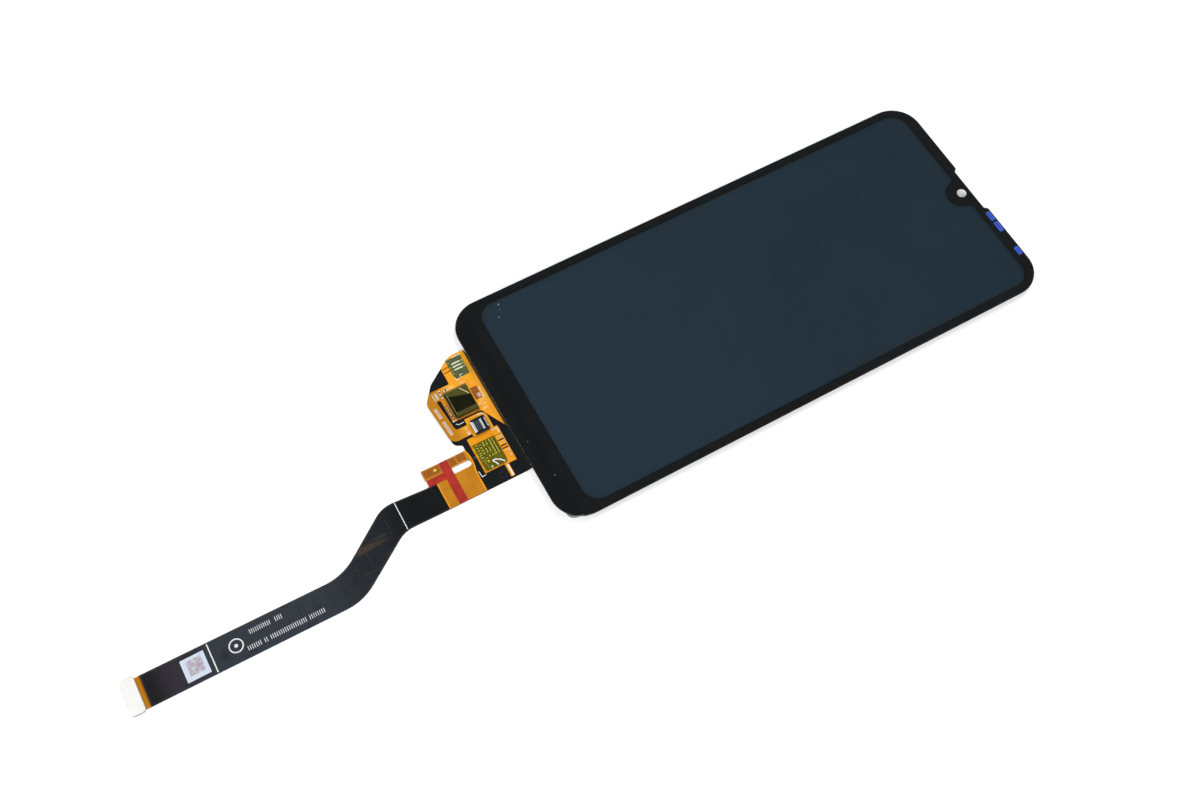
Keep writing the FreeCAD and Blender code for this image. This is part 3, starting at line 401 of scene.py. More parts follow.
def makeTintFilm(look):
    # Thin coloured polyester over small parts: tints what lies below, hazes it, and wrinkles into pale
    # streaks. Only the face where a ray enters is tinted, so a crossing counts once
    material, tree, inMm = startMaterial(look["name"])
    wrinkles = addNode(tree, "TexNoise", {"Vector": inMm, "Scale": 1 / look["wrinkle"], "Distortion": 0.8})
    haze = addNode(tree, "TexNoise", {"Vector": inMm, "Scale": 1 / look["hazeSize"]})
    bump = addNode(tree, "Bump", {"Strength": 0.7, "Distance": look["relief"] * mm, "Height": wrinkles})
    leaving = addNode(tree, "NewGeometry").outputs["Backfacing"]
    tint = addNode(tree, "Mix", {0: leaving, 6: look["tint"], 7: "#FFFFFF"}, twoColours)
    clear = addNode(tree, "BsdfTransparent", {"Color": tint})
    tone = addNode(tree, "Mix", {0: haze, 6: look["haze"], 7: look["hazeDark"]}, twoColours)
    film = addNode(tree, "BsdfPrincipled", {
        "IOR": 1.6, "Roughness": 0.22, "Base Color": tone, "Normal": bump})
    thin, thick = look["share"]
    share = addNode(tree, "MapRange", {0: haze, 1: 0.3, 2: 0.7, 3: thin, 4: thick}, smooth)
    for a, b, edge, soft, amount in look.get("lifts", []):
        # Past the line ax + by = edge the film stands off the part below and shows its own colour
        side = addNode(tree, "VectorMath", {0: inMm, 1: (a, b, 0.0)}, {"operation": "DOT_PRODUCT"})
        lift = addNode(tree, "MapRange", {0: side, 1: edge, 2: edge + soft, 4: amount}, smooth)
        share = addNode(tree, "Math", {0: share, 1: lift}, larger)
    entering = addNode(tree, "Math", {0: 1.0, 1: leaving}, {"operation": "SUBTRACT"})
    share = addNode(tree, "Math", {0: share, 1: entering}, product)
    closeMaterial(tree, addNode(tree, "MixShader", {0: share, 1: clear, 2: film}))
    return material


def makeLabel():
    # Coated paper label, laser-printed: pale blue-white with one plain faint brownish square
    look = {"x": (21.5, 25.7), "y": (-179.8, -175.8), "soft": 0.25, "paper": ("#DCE6F2", "#CBD8EA"),
            "print": "#A88E98", "mottle": 0.55, "fibre": 0.15}
    material, tree, inMm = startMaterial("coatedPaperLabel")
    place = addNode(tree, "SeparateXYZ", {0: inMm}).outputs
    inside, soft = None, look["soft"]
    for axis, (low, high) in ((0, look["x"]), (1, look["y"])):
        for start, end in ((low - soft, low + soft), (high + soft, high - soft)):
            step = addNode(tree, "MapRange", {0: place[axis], 1: start, 2: end}, smooth)
            if inside:
                step = addNode(tree, "Math", {0: inside, 1: step}, {"operation": "MINIMUM"})
            inside = step
    mottle = patchShare(tree, inMm, look["mottle"], 2.0, 0.35, 0.65, 0.3, 0.85)
    printed = addNode(tree, "Math", {0: inside, 1: mottle}, product)
    cloud = addNode(tree, "TexNoise", {"Vector": inMm, "Scale": 1 / 3.0, "Detail": 3.0})
    paper = addNode(tree, "Mix", {0: cloud, 6: look["paper"][0], 7: look["paper"][1]}, twoColours)
    tone = addNode(tree, "Mix", {0: printed, 6: paper, 7: look["print"]}, twoColours)
    fibre = addNode(tree, "TexNoise", {"Vector": inMm, "Scale": 1 / look["fibre"], "Detail": 4.0})
    bump = addNode(tree, "Bump", {"Strength": 0.4, "Distance": 0.01 * mm, "Height": fibre})
    rough = addNode(tree, "MapRange", {0: fibre, 1: 0.3, 2: 0.7, 3: 0.5, 4: 0.65}, smooth)
    closeMaterial(tree, addNode(tree, "BsdfPrincipled", {
        "Specular IOR Level": 0.3, "Base Color": tone, "Normal": bump, "Roughness": rough}))
    return material


def makeTraySteel():
    # Cold-rolled stainless sheet, pressed: dull silver with rolling lines along the screen
    look = {"light": "#B9BCC0", "dark": "#9EA2A8", "line": 0.12, "length": 30.0}
    material, tree, inMm = startMaterial("rolledStainlessSteel")
    drawn = addNode(tree, "VectorMath", {
        0: inMm, 1: (1.0, look["line"] / look["length"], 1.0)}, {"operation": "MULTIPLY"})
    lines = addNode(tree, "TexNoise", {"Vector": drawn, "Scale": 1 / look["line"], "Detail": 4.0})
    tone = addNode(tree, "Mix", {0: lines, 6: look["light"], 7: look["dark"]}, twoColours)
    bump = addNode(tree, "Bump", {"Strength": 0.5, "Distance": 0.004 * mm, "Height": lines})
    rough = addNode(tree, "MapRange", {0: lines, 1: 0.3, 2: 0.7, 3: 0.3, 4: 0.42}, smooth)
    closeMaterial(tree, addNode(tree, "BsdfPrincipled", {
        "Metallic": 1.0, "Base Color": tone, "Normal": bump, "Roughness": rough}))
    return material


# Plain finishes, each with its grain in millimetres
finishes = {
    # Screen-printed ink, matte black, with a faint mesh grain
    "borderInk": {"name": "screenPrintedBlackInk", "tones": ("#0C1012", "#090C0E"), "patch": 12.0,
                  "grain": 0.12, "relief": 0.0004, "roughness": (0.5, 0.65), "gloss": 0.0},
    # Infrared-clear ink, screen-printed: bright blue, darker in the middle where the sensor shows through
    "sensorInk": {"name": "sensorWindowInk", "tones": ("#4A6AE0", "#4161D2"), "patch": 1.0, "grain": 0.12,
                  "relief": 0.002, "roughness": (0.4, 0.5), "gloss": 0.0},
    "sensorCore": {"name": "sensorWindowCore", "tones": ("#3352C0", "#2C49B0"), "patch": 0.8, "grain": 0.12,
                   "relief": 0.002, "roughness": (0.4, 0.5), "gloss": 0.0},
    # Thin alkali-free display glass: grey-green at its cut edge
    "cellGlass": {"name": "alkaliFreeCellGlass", "tones": ("#33403F", "#28322F"), "patch": 5.0, "grain": 0.2,
                  "relief": 0.002, "roughness": (0.08, 0.16), "ior": 1.52},
    # Polished silicon: dark violet-grey mirror
    "silicon": {"name": "polishedSilicon", "tones": ("#3A3A42", "#2C2C33"), "patch": 1.0, "grain": 0.05,
                "relief": 0.001, "roughness": (0.12, 0.22)},
    # White polycarbonate, injection moulded: milky and even
    "frame": {"name": "mouldedWhitePolycarbonate", "tones": ("#EDEDE8", "#E2E2DC"), "patch": 4.0, "grain": 0.2,
              "relief": 0.004, "roughness": (0.45, 0.6), "ior": 1.58},
    # Light-blocking tape: flat black
    "tape": {"name": "lightBlockingTape", "tones": ("#141414", "#0D0D0E"), "patch": 2.0, "grain": 0.15,
             "relief": 0.004, "roughness": (0.6, 0.75)},
    # Prismatic and diffusing polyester: milky, seen only at the cut edges
    "opticalFilm": {"name": "prismaticPolyester", "tones": ("#C9D0D4", "#B4BCC2"), "patch": 3.0, "grain": 0.1,
                    "relief": 0.003, "roughness": (0.3, 0.45)},
    # Moulded acrylic light guide: clear water-white edge
    "guide": {"name": "mouldedAcrylicGuide", "tones": ("#D9E2E4", "#C9D3D6"), "patch": 4.0, "grain": 0.3,
              "relief": 0.002, "roughness": (0.15, 0.25), "ior": 1.49},
    # Multilayer reflector: bright silver-white
    "reflector": {"name": "multilayerReflector", "tones": ("#E6E8EA", "#DADDE0"), "patch": 5.0, "grain": 0.3,
                  "relief": 0.002, "roughness": (0.2, 0.3)},
    # Light source housing: white with a yellow phosphor face
    "led": {"name": "phosphorLedHousing", "tones": ("#F2EFC0", "#E6DC86"), "patch": 0.8, "grain": 0.1,
            "relief": 0.003, "roughness": (0.4, 0.55)},
    # Transfer-moulded epoxy: charcoal with a fine matte grain
    "chipResin": {"name": "transferMouldedEpoxy", "tones": ("#1A1D20", "#131517"), "patch": 1.6, "grain": 0.08,
                  "relief": 0.006, "roughness": (0.45, 0.6), "gloss": 0.12},
    # Liquid-crystal polymer, moulded: near-black housing with a slight blue cast
    "connectorResin": {"name": "mouldedLiquidCrystalPolymer", "tones": ("#14181D", "#0D1013"), "patch": 0.9,
                       "grain": 0.08, "relief": 0.004, "roughness": (0.35, 0.5)},
    # The tongue and the lit faces of the housing: lighter blue-grey copies of the housing resin, as painted
    # light
    "connectorTongue": {"name": "litCopyLiquidCrystalPolymer", "tones": ("#39434F", "#2C3540"), "patch": 0.7,
                        "grain": 0.08, "relief": 0.004, "roughness": (0.4, 0.55)},
    "connectorWall": {"name": "litWallLiquidCrystalPolymer", "tones": ("#A7ABAE", "#898E92"), "patch": 0.5,
                      "grain": 0.06, "relief": 0.003, "roughness": (0.4, 0.5)},
    # Tin plate: bright soft white metal
    "tin": {"name": "matteTinPlate", "tones": ("#F4F3EE", "#DEDCD2"), "patch": 0.35, "grain": 0.05,
            "relief": 0.004, "roughness": (0.3, 0.45), "metallic": 0.4},
    "whiteTin": {"name": "brightTinPlate", "tones": ("#FFFFFF", "#EDEEEE"), "patch": 0.4, "grain": 0.05,
                 "relief": 0.003, "roughness": (0.3, 0.45)},
    # Immersion gold over nickel: warm yellow metal
    "gold": {"name": "immersionGoldPlate", "tones": ("#F3D36A", "#D9AE3C"), "patch": 0.3, "grain": 0.05,
             "relief": 0.003, "roughness": (0.25, 0.4), "metallic": 0.8},
    "paleGold": {"name": "immersionGoldPad", "tones": ("#F8EC6A", "#E3CF3C"), "patch": 0.3, "grain": 0.06,
                 "relief": 0.003, "roughness": (0.35, 0.5), "metallic": 0.2},
    # Fired barium titanate bodies: dull brown-black
    "ceramic": {"name": "firedCapacitorCeramic", "tones": ("#2B2520", "#1D1A17"), "patch": 0.4, "grain": 0.05,
                "relief": 0.004, "roughness": (0.45, 0.6)},
    # Legend ink, screen-printed: opaque white with slightly ragged tone
    "legend": {"name": "whiteLegendInk", "tones": ("#F4F4F2", "#DEE2E4"), "patch": 0.5, "grain": 0.08,
               "relief": 0.003, "roughness": (0.5, 0.65)},
    "creamLegend": {"name": "thinLegendInk", "tones": ("#FBE3B4", "#F6CE8A"), "patch": 0.4, "grain": 0.08,
                    "relief": 0.002, "roughness": (0.45, 0.6)},
    # Bare coverlay between copper fields: brown
    "brownLayer": {"name": "bareBrownCoverlay", "tones": ("#A5611B", "#995716"), "patch": 0.7, "grain": 0.1,
                   "relief": 0.003, "roughness": (0.35, 0.5)},
    "deepBrown": {"name": "etchedTrackGap", "tones": ("#7A3A10", "#5C2A0C"), "patch": 0.5, "grain": 0.1,
                  "relief": 0.003, "roughness": (0.35, 0.5)},
    # Bright amber lines along raised sheet edges, as painted highlights
    "amberEdgeHighlight": {"name": "paintedAmberEdgeHighlight", "tones": ("#FFAE30", "#F59A1A"), "patch": 0.8, "grain": 0.1,
                  "relief": 0.003, "roughness": (0.3, 0.42)},
    # Dark solder mask under the coloured films
    "maskGround": {"name": "darkSolderMask", "tones": ("#74713E", "#57562C"), "patch": 0.6, "grain": 0.1,
                   "relief": 0.004, "roughness": (0.35, 0.5)},
    "lobeGround": {"name": "greenSolderMask", "tones": ("#5E6644", "#4B5334"), "patch": 1.0, "grain": 0.1,
                   "relief": 0.004, "roughness": (0.35, 0.5)},
    "paleGreen": {"name": "tinnedViaDots", "tones": ("#C9D6A6", "#B2C28C"), "patch": 0.3, "grain": 0.06,
                  "relief": 0.003, "roughness": (0.4, 0.5)},
    # Red polyester tape: glossy brick red, thinner and lighter where it bridges the gap
    "redTape": {"name": "redPolyesterTape", "tones": ("#BB3428", "#A12A24"), "patch": 3.5, "grain": 0.25,
                "relief": 0.004, "roughness": (0.3, 0.42)},
    # Cap moulded in white polyethylene: soft, waxy white; its grey edge colour is painted shade on the
    # standing sides
    "cap": {"name": "mouldedWhitePolyethylene", "tones": ("#FAFAF7", "#F6F5F2"), "edge": "#A9A9A4",
            "patch": 2.5, "grain": 0.15, "relief": 0.004, "roughness": (0.4, 0.52)},
    # Pressed-in outlines in the black film: dark lines as painted shade in their grooves, with a lighter rim
    # beside them as painted highlight
    "embossed": {"name": "embossedBlackFilm", "tones": ("#0C0E10", "#090A0C"), "patch": 1.2, "grain": 0.2,
                 "relief": 0.003, "roughness": (0.45, 0.55)},
    "embossedGlint": {"name": "embossedFilmPaintedGlint", "tones": ("#3B4248", "#2E343A"), "patch": 1.2,
                      "grain": 0.2, "relief": 0.003, "roughness": (0.4, 0.5)},
    # Creased edge of the olive film, painted lighter as a highlight where it catches light
    "foldHighlightPaint": {"name": "paintedCreaseHighlight", "tones": ("#9C9A4A", "#7A7830"), "patch": 0.6, "grain": 0.1,
                   "relief": 0.003, "roughness": (0.3, 0.45)},
    # Settled dust: pale lint specks on the glass
    "dust": {"name": "settledDust", "tones": ("#C9D0D6", "#9FA8B0"), "patch": 0.1, "grain": 0.04,
             "relief": 0.01, "roughness": (0.8, 0.9)},
}
made = {key: grainSurface(look) for key, look in finishes.items()}
made["glass"] = makeCoverGlass()
made["bond"] = makeClearBond()
made["polariser"] = makePolariser()
made["label"] = makeLabel()
made["steel"] = makeTraySteel()
made["touchFlex"] = makePolyimide({
    "name": "amberCoverlayTouch", "bright": "#FFB432", "mid": "#FDA626", "deep": "#DC8A12", "tracks": "Y",
    "pitch": 1.1, "trackShare": 0.14, "cloud": 3.5, "edge": "#4E2C0C",
    # Towards the foot the copper thins out; under the glass edge the strip is darkened olive-brown as painted
    # shade
    "fades": [(-87.3, -92.5, "#C17F16"), (-79.1, -78.95, "#43350F")]})
made["displayFlex"] = makePolyimide({
    "name": "amberCoverlayBoard", "bright": "#FBA622", "mid": "#F09A18", "deep": "#D98A12", "tracks": "X",
    "pitch": 1.4, "trackShare": 0.12, "cloud": 2.5, "edge": "#3A2410",
    # Dark under the black film, amber again at the cap
    "fades": [(-103.4, -104.4, "#20262B"), (-190.8, -191.0, "#C98208")]})
made["jointFlex"] = makePolyimide({
    "name": "amberCoverlayJoint", "bright": "#D08A20", "mid": "#C27C17", "deep": "#AA6A10", "tracks": "X",
    "pitch": 0.9, "trackShare": 0.3, "cloud": 5.0, "edge": "#5A340C", "fades": []})
made["upperFilm"] = makeBlackFilm({
    "name": "pressedBlackFilmUpper", "base": "#111519", "cloud": "#181C20", "cloudShare": 0.6, "fades": []})
made["tailFilm"] = makeBlackFilm({
    "name": "pressedBlackFilmTail", "base": "#0E1012", "cloud": "#1C1B1B", "cloudShare": 0.5,
    # Handling has left pale brown streaks across the elbow
    "streaks": {"turn": math.atan2(-0.95, 0.3), "stretch": 0.16, "size": 3.2, "from": (-131.5, -129.0),
                "to": (-122.0, -119.5), "colour": "#4A3C34", "share": 0.75},
    # Painted sheen: bluer and paler past the elbow, faintly violet below the label, dark again at the end
    "fades": [(-112.0, -126.0, "#20252A"), (-128.0, -145.0, "#31383F"), (-172.0, -182.0, "#302D35"),
              (-183.0, -190.5, "#17181B")]})
made["componentFilm"] = makeTintFilm({
    "name": "oliveCoverFilm", "tint": "#F6F2A0", "haze": "#8A8830", "hazeDark": "#6A6A22", "wrinkle": 1.6,
    "hazeSize": 1.4, "relief": 0.06, "share": (0.04, 0.2)})
made["chipFilm"] = makeTintFilm({
    "name": "oliveChipFilm", "tint": "#FCF8D0", "haze": "#5C5C22", "hazeDark": "#42441A", "wrinkle": 2.2,
    "hazeSize": 2.0, "relief": 0.03, "share": (0.0, 0.01),
    # Lifted wedge at the left of the crease, and lifted band at the right
    "lifts": [(-0.949, 0.316, -15.65, 0.35, 0.7), (1.0, 0.0, -7.95, 0.3, 0.6)]})
made["lobeFilm"] = makeTintFilm({
    "name": "greenLobeFilm", "tint": "#F6FAE8", "haze": "#7C8A4A", "hazeDark": "#5A6834", "wrinkle": 2.0,
    "hazeSize": 2.0, "relief": 0.03, "share": (0.0, 0.12)})
print("materials made:", len(made))


# CAD nodes that keep their own mesh

dressed = {
    "glass": ["cover_glass"], "polariser": ["front_polariser", "rear_polariser"],
    "cellGlass": ["colour_filter_glass", "tft_glass"], "silicon": ["driver_chip"], "steel": ["back_plate"],
    "frame": ["backlight_frame"], "tape": ["shading_tape"],
    "opticalFilm": ["upper_prism_film", "lower_prism_film", "diffuser_film"], "guide": ["light_guide"],
    "reflector": ["reflector_film"], "led": ["backlight_leds"],
    "displayFlex": ["backlight_flex", "display_flex"], "touchFlex": ["touch_flex"],
    "jointFlex": ["joint_flex"], "upperFilm": ["upper_cover_film"], "tailFilm": ["tail_cover_film"],
    "chipResin": ["touch_chip"], "whiteTin": ["lobe_pads", "connector_contacts", "ground_strip"],
    "connectorResin": ["flex_connector", "tail_plug"], "gold": ["plug_contacts"], "paleGold": ["tab_pad"],
    "redTape": ["red_tape"], "label": ["tail_label"], "cap": ["plug_cap"]}
for finish, names in dressed.items():
    for name in names:
        for slot in nodes[name].material_slots:
            slot.material = made[finish]


# Layers that need play between see-through faces

thinnedCopy("printedBorder", ("border_print",), "borderInk")
thinnedCopy("sensorInk", ("sensor_windows",), "sensorInk")
thinnedCopy("chipTintFilm", ("chip_cover_film",), "chipFilm")
thinnedCopy("componentTintFilm", ("passives_cover_film",), "componentFilm")
thinnedCopy("lobeTintFilm", ("lobe_cover_film",), "lobeFilm")
# The touch film and the adhesive on both its faces act as one clear slab
thinnedCopy("bondedLayers", ("lower_adhesive", "touch_sensor", "upper_adhesive"), "bond")
inkTop = topOf("sensor_windows") - play
coreInset = 0.34
cores = [boxOutline(low[0] / mm + coreInset, high[0] / mm - coreInset, low[1] / mm + coreInset,
                    high[1] / mm - coreInset, 0.1) for low, high in solidBoxes("sensor_windows")]
addMarks("sensorCores", cores, inkTop, play / 2, "sensorCore")
print("layers copied")


# Small parts: ceramic body between two tinned ends, on solder pads

def buildSmallParts(name, node):
    look = {"end": 0.24, "waist": 0.03, "round": 0.05, "pad": 0.05, "padHeight": 0.02}
    mesh = bmesh.new()
    for low, high in solidBoxes(node):
        axis = 0 if high[0] - low[0] > high[1] - low[1] else 1
        side = 1 - axis
        waist, pad = look["waist"] * mm, look["pad"] * mm
        bodyLow, bodyHigh = list(low), list(high)
        bodyLow[side] += waist
        bodyHigh[side] -= waist
        bodyHigh[2] -= waist
        addBlock(mesh, bodyLow, bodyHigh, look["round"], 0)
        for start in (low[axis], high[axis] - look["end"] * mm):
            endLow, endHigh = list(low), list(high)
            endLow[axis], endHigh[axis] = start, start + look["end"] * mm
            addBlock(mesh, endLow, endHigh, look["round"], 1)
            padLow = [value - pad for value in endLow[:2]] + [low[2]]
            padHigh = [value + pad for value in endHigh[:2]] + [low[2] + look["padHeight"] * mm]
            addBlock(mesh, padLow, padHigh, look["padHeight"] * 0.3, 1)
    finishPiece(name, mesh, ["ceramic", "whiteTin"], (node,))


buildSmallParts("boardCapacitors", "display_passives")
buildSmallParts("touchCapacitors", "touch_passives")


# Component field on the display circuit: dark ground, end pads, tracks that run up from it

def buildComponentField():
    field = {
        "ground": (2.9, 11.5, -89.65, -83.1, 0.4), "groundHeight": 0.012,
        "padHeight": 0.02, "trackHeight": 0.008, "strayHeight": 0.006,
        "looseGold": [(4.2, -89.75, 0.95, 0.32), (6.35, -89.75, 0.95, 0.32), (3.65, -88.75, 0.4, 0.4),
                      (8.5, -88.6, 0.5, 0.3), (4.8, -87.8, 0.35, 0.5), (9.3, -87.8, 0.35, 0.4),
                      (7.85, -85.3, 0.3, 0.5), (10.1, -84.5, 0.5, 0.5)],
        "trackX": [(3.15, 0.22, "brownLayer"), (3.6, 0.3, "paleGold"), (4.35, 0.34, "paleGold"),
                   (4.88, 0.5, "deepBrown"), (5.4, 0.3, "paleGold"), (6.15, 0.34, "paleGold"),
                   (6.67, 0.5, "deepBrown"), (7.6, 0.48, "deepBrown"), (8.15, 0.34, "paleGold")],
        "trackY": (-82.85, -81.15), "goldY": (-82.9, -82.0), "tinY": (-81.75, -81.2),
        "tinX": [(3.55, 0.24), (3.98, 0.34), (4.42, 0.24), (5.4, 0.3), (6.15, 0.3), (8.2, 0.36), (8.8, 0.28),
                 (10.05, 0.62)],
        "strays": [(6.1, -90.45, 0.16, 0.5), (6.6, -90.45, 0.16, 0.5), (6.1, -91.1, 0.2, 0.3),
                   (6.65, -91.1, 0.2, 0.3)]}
    pad = field["padHeight"]
    addMarks("componentGround", [boxOutline(*field["ground"])], boardTop, field["groundHeight"], "maskGround")
    gold = [boxOutline(x - w / 2, x + w / 2, y - h / 2, y + h / 2, 0.06) for x, y, w, h in field["looseGold"]]
    gold += [boxOutline(x - w / 2, x + w / 2, *field["goldY"], 0.08) for x, w, kind in field["trackX"]
             if kind == "paleGold"]
    addMarks("goldPads", gold, boardTop, pad, "paleGold")
    for kind in ("brownLayer", "deepBrown"):
        tracks = [boxOutline(x - w / 2, x + w / 2, *field["trackY"]) for x, w, track in field["trackX"]
                  if track == kind]
        addMarks(f"tracks_{kind}", tracks, boardTop, field["trackHeight"], kind)
    tin = [boxOutline(x - w / 2, x + w / 2, *field["tinY"], 0.08) for x, w in field["tinX"]]
    addMarks("tinPads", tin, boardTop, pad, "tin")
    strays = [boxOutline(x - w / 2, x + w / 2, y - h / 2, y + h / 2) for x, y, w, h in field["strays"]]
    addMarks("strayPads", strays, filmTop, field["strayHeight"], "maskGround")


buildComponentField()


# White and cream legend marks, plain strokes only, with one cream stroke that is a painted highlight

def buildLegend():
    ink = 0.012
    line = 0.2
    onTouch = [strokeOutline(points, line) for points in (
        [(-24.1, -80.05), (-24.12, -82.8)], [(-18.2, -82.1), (-18.2, -82.95), (-17.4, -82.95)],
        [(-17.2, -83.7), (-17.2, -84.55), (-18.1, -84.6)],
        [(-4.7, -84.35), (-4.72, -82.85), (-4.1, -82.8)])]
    for row in (((-12.4, -78.95), (-7.3, -78.9), 13, 0.5, 0.2, (6,)),
                ((-12.2, -79.9), (-8.9, -79.8), 9, 0.75, 0.2, (3,)),
                ((-10.6, -81.1), (-9.6, -81.0), 4, 0.8, 0.16),
                ((-11.7, -93.75), (-2.75, -93.0), 21, 0.85, 0.18, (8, 9)),
                ((-16.05, -91.7), (-14.2, -91.65), 6, 0.5, 0.18),
                ((-15.95, -92.6), (-14.1, -92.55), 5, 0.3, 0.18),
                ((-2.7, -88.85), (-2.4, -88.8), 2, 0.5, 0.14), ((-1.3, -88.8), (-0.4, -88.7), 4, 0.6, 0.16)):
        onTouch += dashRow(*row)
    onTouch += [discOutline(x, y, 0.22, 12)
                for x, y in ((-7.5, -82.1), (-5.7, -81.65), (-6.7, -83.0), (-6.05, -90.95))]
    addMarks("touchLegend", onTouch, flexTop, ink, "legend")
    # The first cream stroke runs along the island's right edge: a painted highlight on the sheet's edge, not
    # print
    cream = [strokeOutline(points, 0.18) for points in (
        [(-7.9, -82.95), (-7.2, -82.95), (-6.15, -84.0), (-6.1, -90.9)], [(-14.6, -83.3), (-13.9, -82.85)])]
    for row in (((-8.0, -79.75), (-7.3, -79.7), 3, 0.6, 0.18),
                ((-8.7, -81.0), (-5.5, -80.9), 8, 0.7, 0.18, (2, 5)),
                ((-15.75, -82.9), (-15.75, -83.9), 4, 0.6, 0.18),
                ((-15.8, -86.3), (-15.8, -87.5), 5, 0.6, 0.16)):
        cream += dashRow(*row)
    addMarks("touchThinLegend", cream, flexTop, ink * 0.7, "creamLegend")
    onBoard = [strokeOutline([(1.1, -82.95), (1.1, -81.35), (2.5, -81.3)], 0.26)]
    addMarks("boardLegend", onBoard, boardTop, ink, "legend")
    onFilm = [strokeOutline(points, width) for points, width in (
        ([(12.28, -90.2), (12.35, -91.35), (10.5, -91.55)], 0.2),
        ([(-4.65, -88.5), (-4.6, -90.1), (-5.1, -90.6)], 0.2))]
    addMarks("filmLegend", onFilm, filmTop, ink, "legend")


buildLegend()


# Marks on the tail

def buildTailMarks():
    tail = {"lines": [((7.85, -115.35), (16.1, -115.35), 0.24), ((19.75, -173.4), (27.75, -173.4), 0.32)],
            "ring": (23.7, -166.9, 1.95, 1.6), "ringDot": 0.5,
            "longRow": ((25.85, -143.6), (25.85, -164.4), 38, 1.2, 0.17, (8, 27, 30)),
            "shortRow": ((21.95, -153.9), (21.95, -162.5), 17, 1.2, 0.16, (4, 5)),
            "ladder": [(13.5, -120.0), (16.4, -124.1), (19.1, -128.2), (21.8, -132.3), (23.3, -136.4),
                       (23.7, -140.4), (23.8, -144.5), (23.8, -148.6)],
            "ladderSize": (4.3, 1.07), "ladderLine": 0.1, "ladderHeight": 0.008, "glintRise": 0.003,
            "height": 0.012, "mould": (14.4, -86.1, 1.02, 0.92), "mouldHeight": 0.006,
            "bare": ((19.1, -191.3), (27.95, -191.3)), "bareWidth": 0.4, "bareHeight": 0.008,
            "beadInset": 0.3, "beadWidth": 0.1, "beadHeight": 0.006}
    mesh = bmesh.new()
    low, high = filmTop, filmTop + tail["height"]
    for start, end, width in tail["lines"]:
        addSlab(mesh, strokeOutline([start, end], width, 3), low, high)
    x, y, outer, inner = tail["ring"]
    addRing(mesh, x, y, outer, inner, low, high)
    addSlab(mesh, discOutline(x, y, tail["ringDot"]), low, high)
    for row in (tail["longRow"], tail["shortRow"]):
        for outline in dashRow(*row):
            addSlab(mesh, outline, low, high)
    finishPiece("tailLegend", mesh, ["legend"])
    width, height = tail["ladderSize"]
    line = tail["ladderLine"]
    # Each window: dark outline as painted shade, and a lighter glint line inset on its head and left sides as
    # painted highlight
    for name, shift, rise, key in (("tailEmbossing", 0.0, 0.0, "embossed"),
                                   ("tailEmbossingGlint", line, tail["glintRise"], "embossedGlint")):
        mesh = bmesh.new()
        for x, y in tail["ladder"]:
            left, right = x - width / 2 + shift, x + width / 2 - shift
            foot, head = y - height / 2 + shift, y + height / 2 - shift
            sides = [((left, head), (right, head)), ((left, foot), (left, head))]
            if not shift:
                sides += [((left, foot), (right, foot)), ((right, foot), (right, head))]
            for ends in sides:
                addSlab(mesh, strokeOutline(ends, line, 2), low, low + tail["ladderHeight"] + rise)
        finishPiece(name, mesh, [key])
    # A moulded ring in the film, drawn in the glint colour as a painted highlight
    x, y, outer, inner = tail["mould"]
    mesh = bmesh.new()
    addRing(mesh, x, y, outer, inner, low, low + tail["mouldHeight"])
    finishPiece("filmMouldRing", mesh, ["embossedGlint"])
    # Painted shade: a brown strip on the bare circuit where the film stops short of the cap
    shade = [strokeOutline(tail["bare"], tail["bareWidth"], 2)]
    addMarks("tailRootShade", shade, boardTop, tail["bareHeight"], "brownLayer")
    # Pressed film stands up in a fine bead just inside its cut edge, drawn in the glint colour as a painted
    # highlight
    mesh = bmesh.new()
    mesh.from_mesh(nodes["tail_cover_film"].data)
    bmesh.ops.remove_doubles(mesh, verts=mesh.verts, dist=1e-6)
    inner = [face for face in mesh.faces if face.normal.z > 0.9]
    bmesh.ops.delete(mesh, geom=[face for face in mesh.faces if face.normal.z <= 0.9], context="FACES")
    for width in (tail["beadInset"], tail["beadWidth"]):
        kept = set(bmesh.ops.inset_region(mesh, faces=inner, thickness=width * mm, use_even_offset=True,
                                          use_boundary=True)["faces"])
    bmesh.ops.delete(mesh, geom=[face for face in mesh.faces if face not in kept], context="FACES")
    raised = bmesh.ops.extrude_face_region(mesh, geom=list(mesh.faces))["geom"]
    for vert in (item for item in raised if isinstance(item, bmesh.types.BMVert)):
        vert.co.z += tail["beadHeight"] * mm
    finishPiece("tailFilmBead", mesh, ["embossedGlint"])


buildTailMarks()
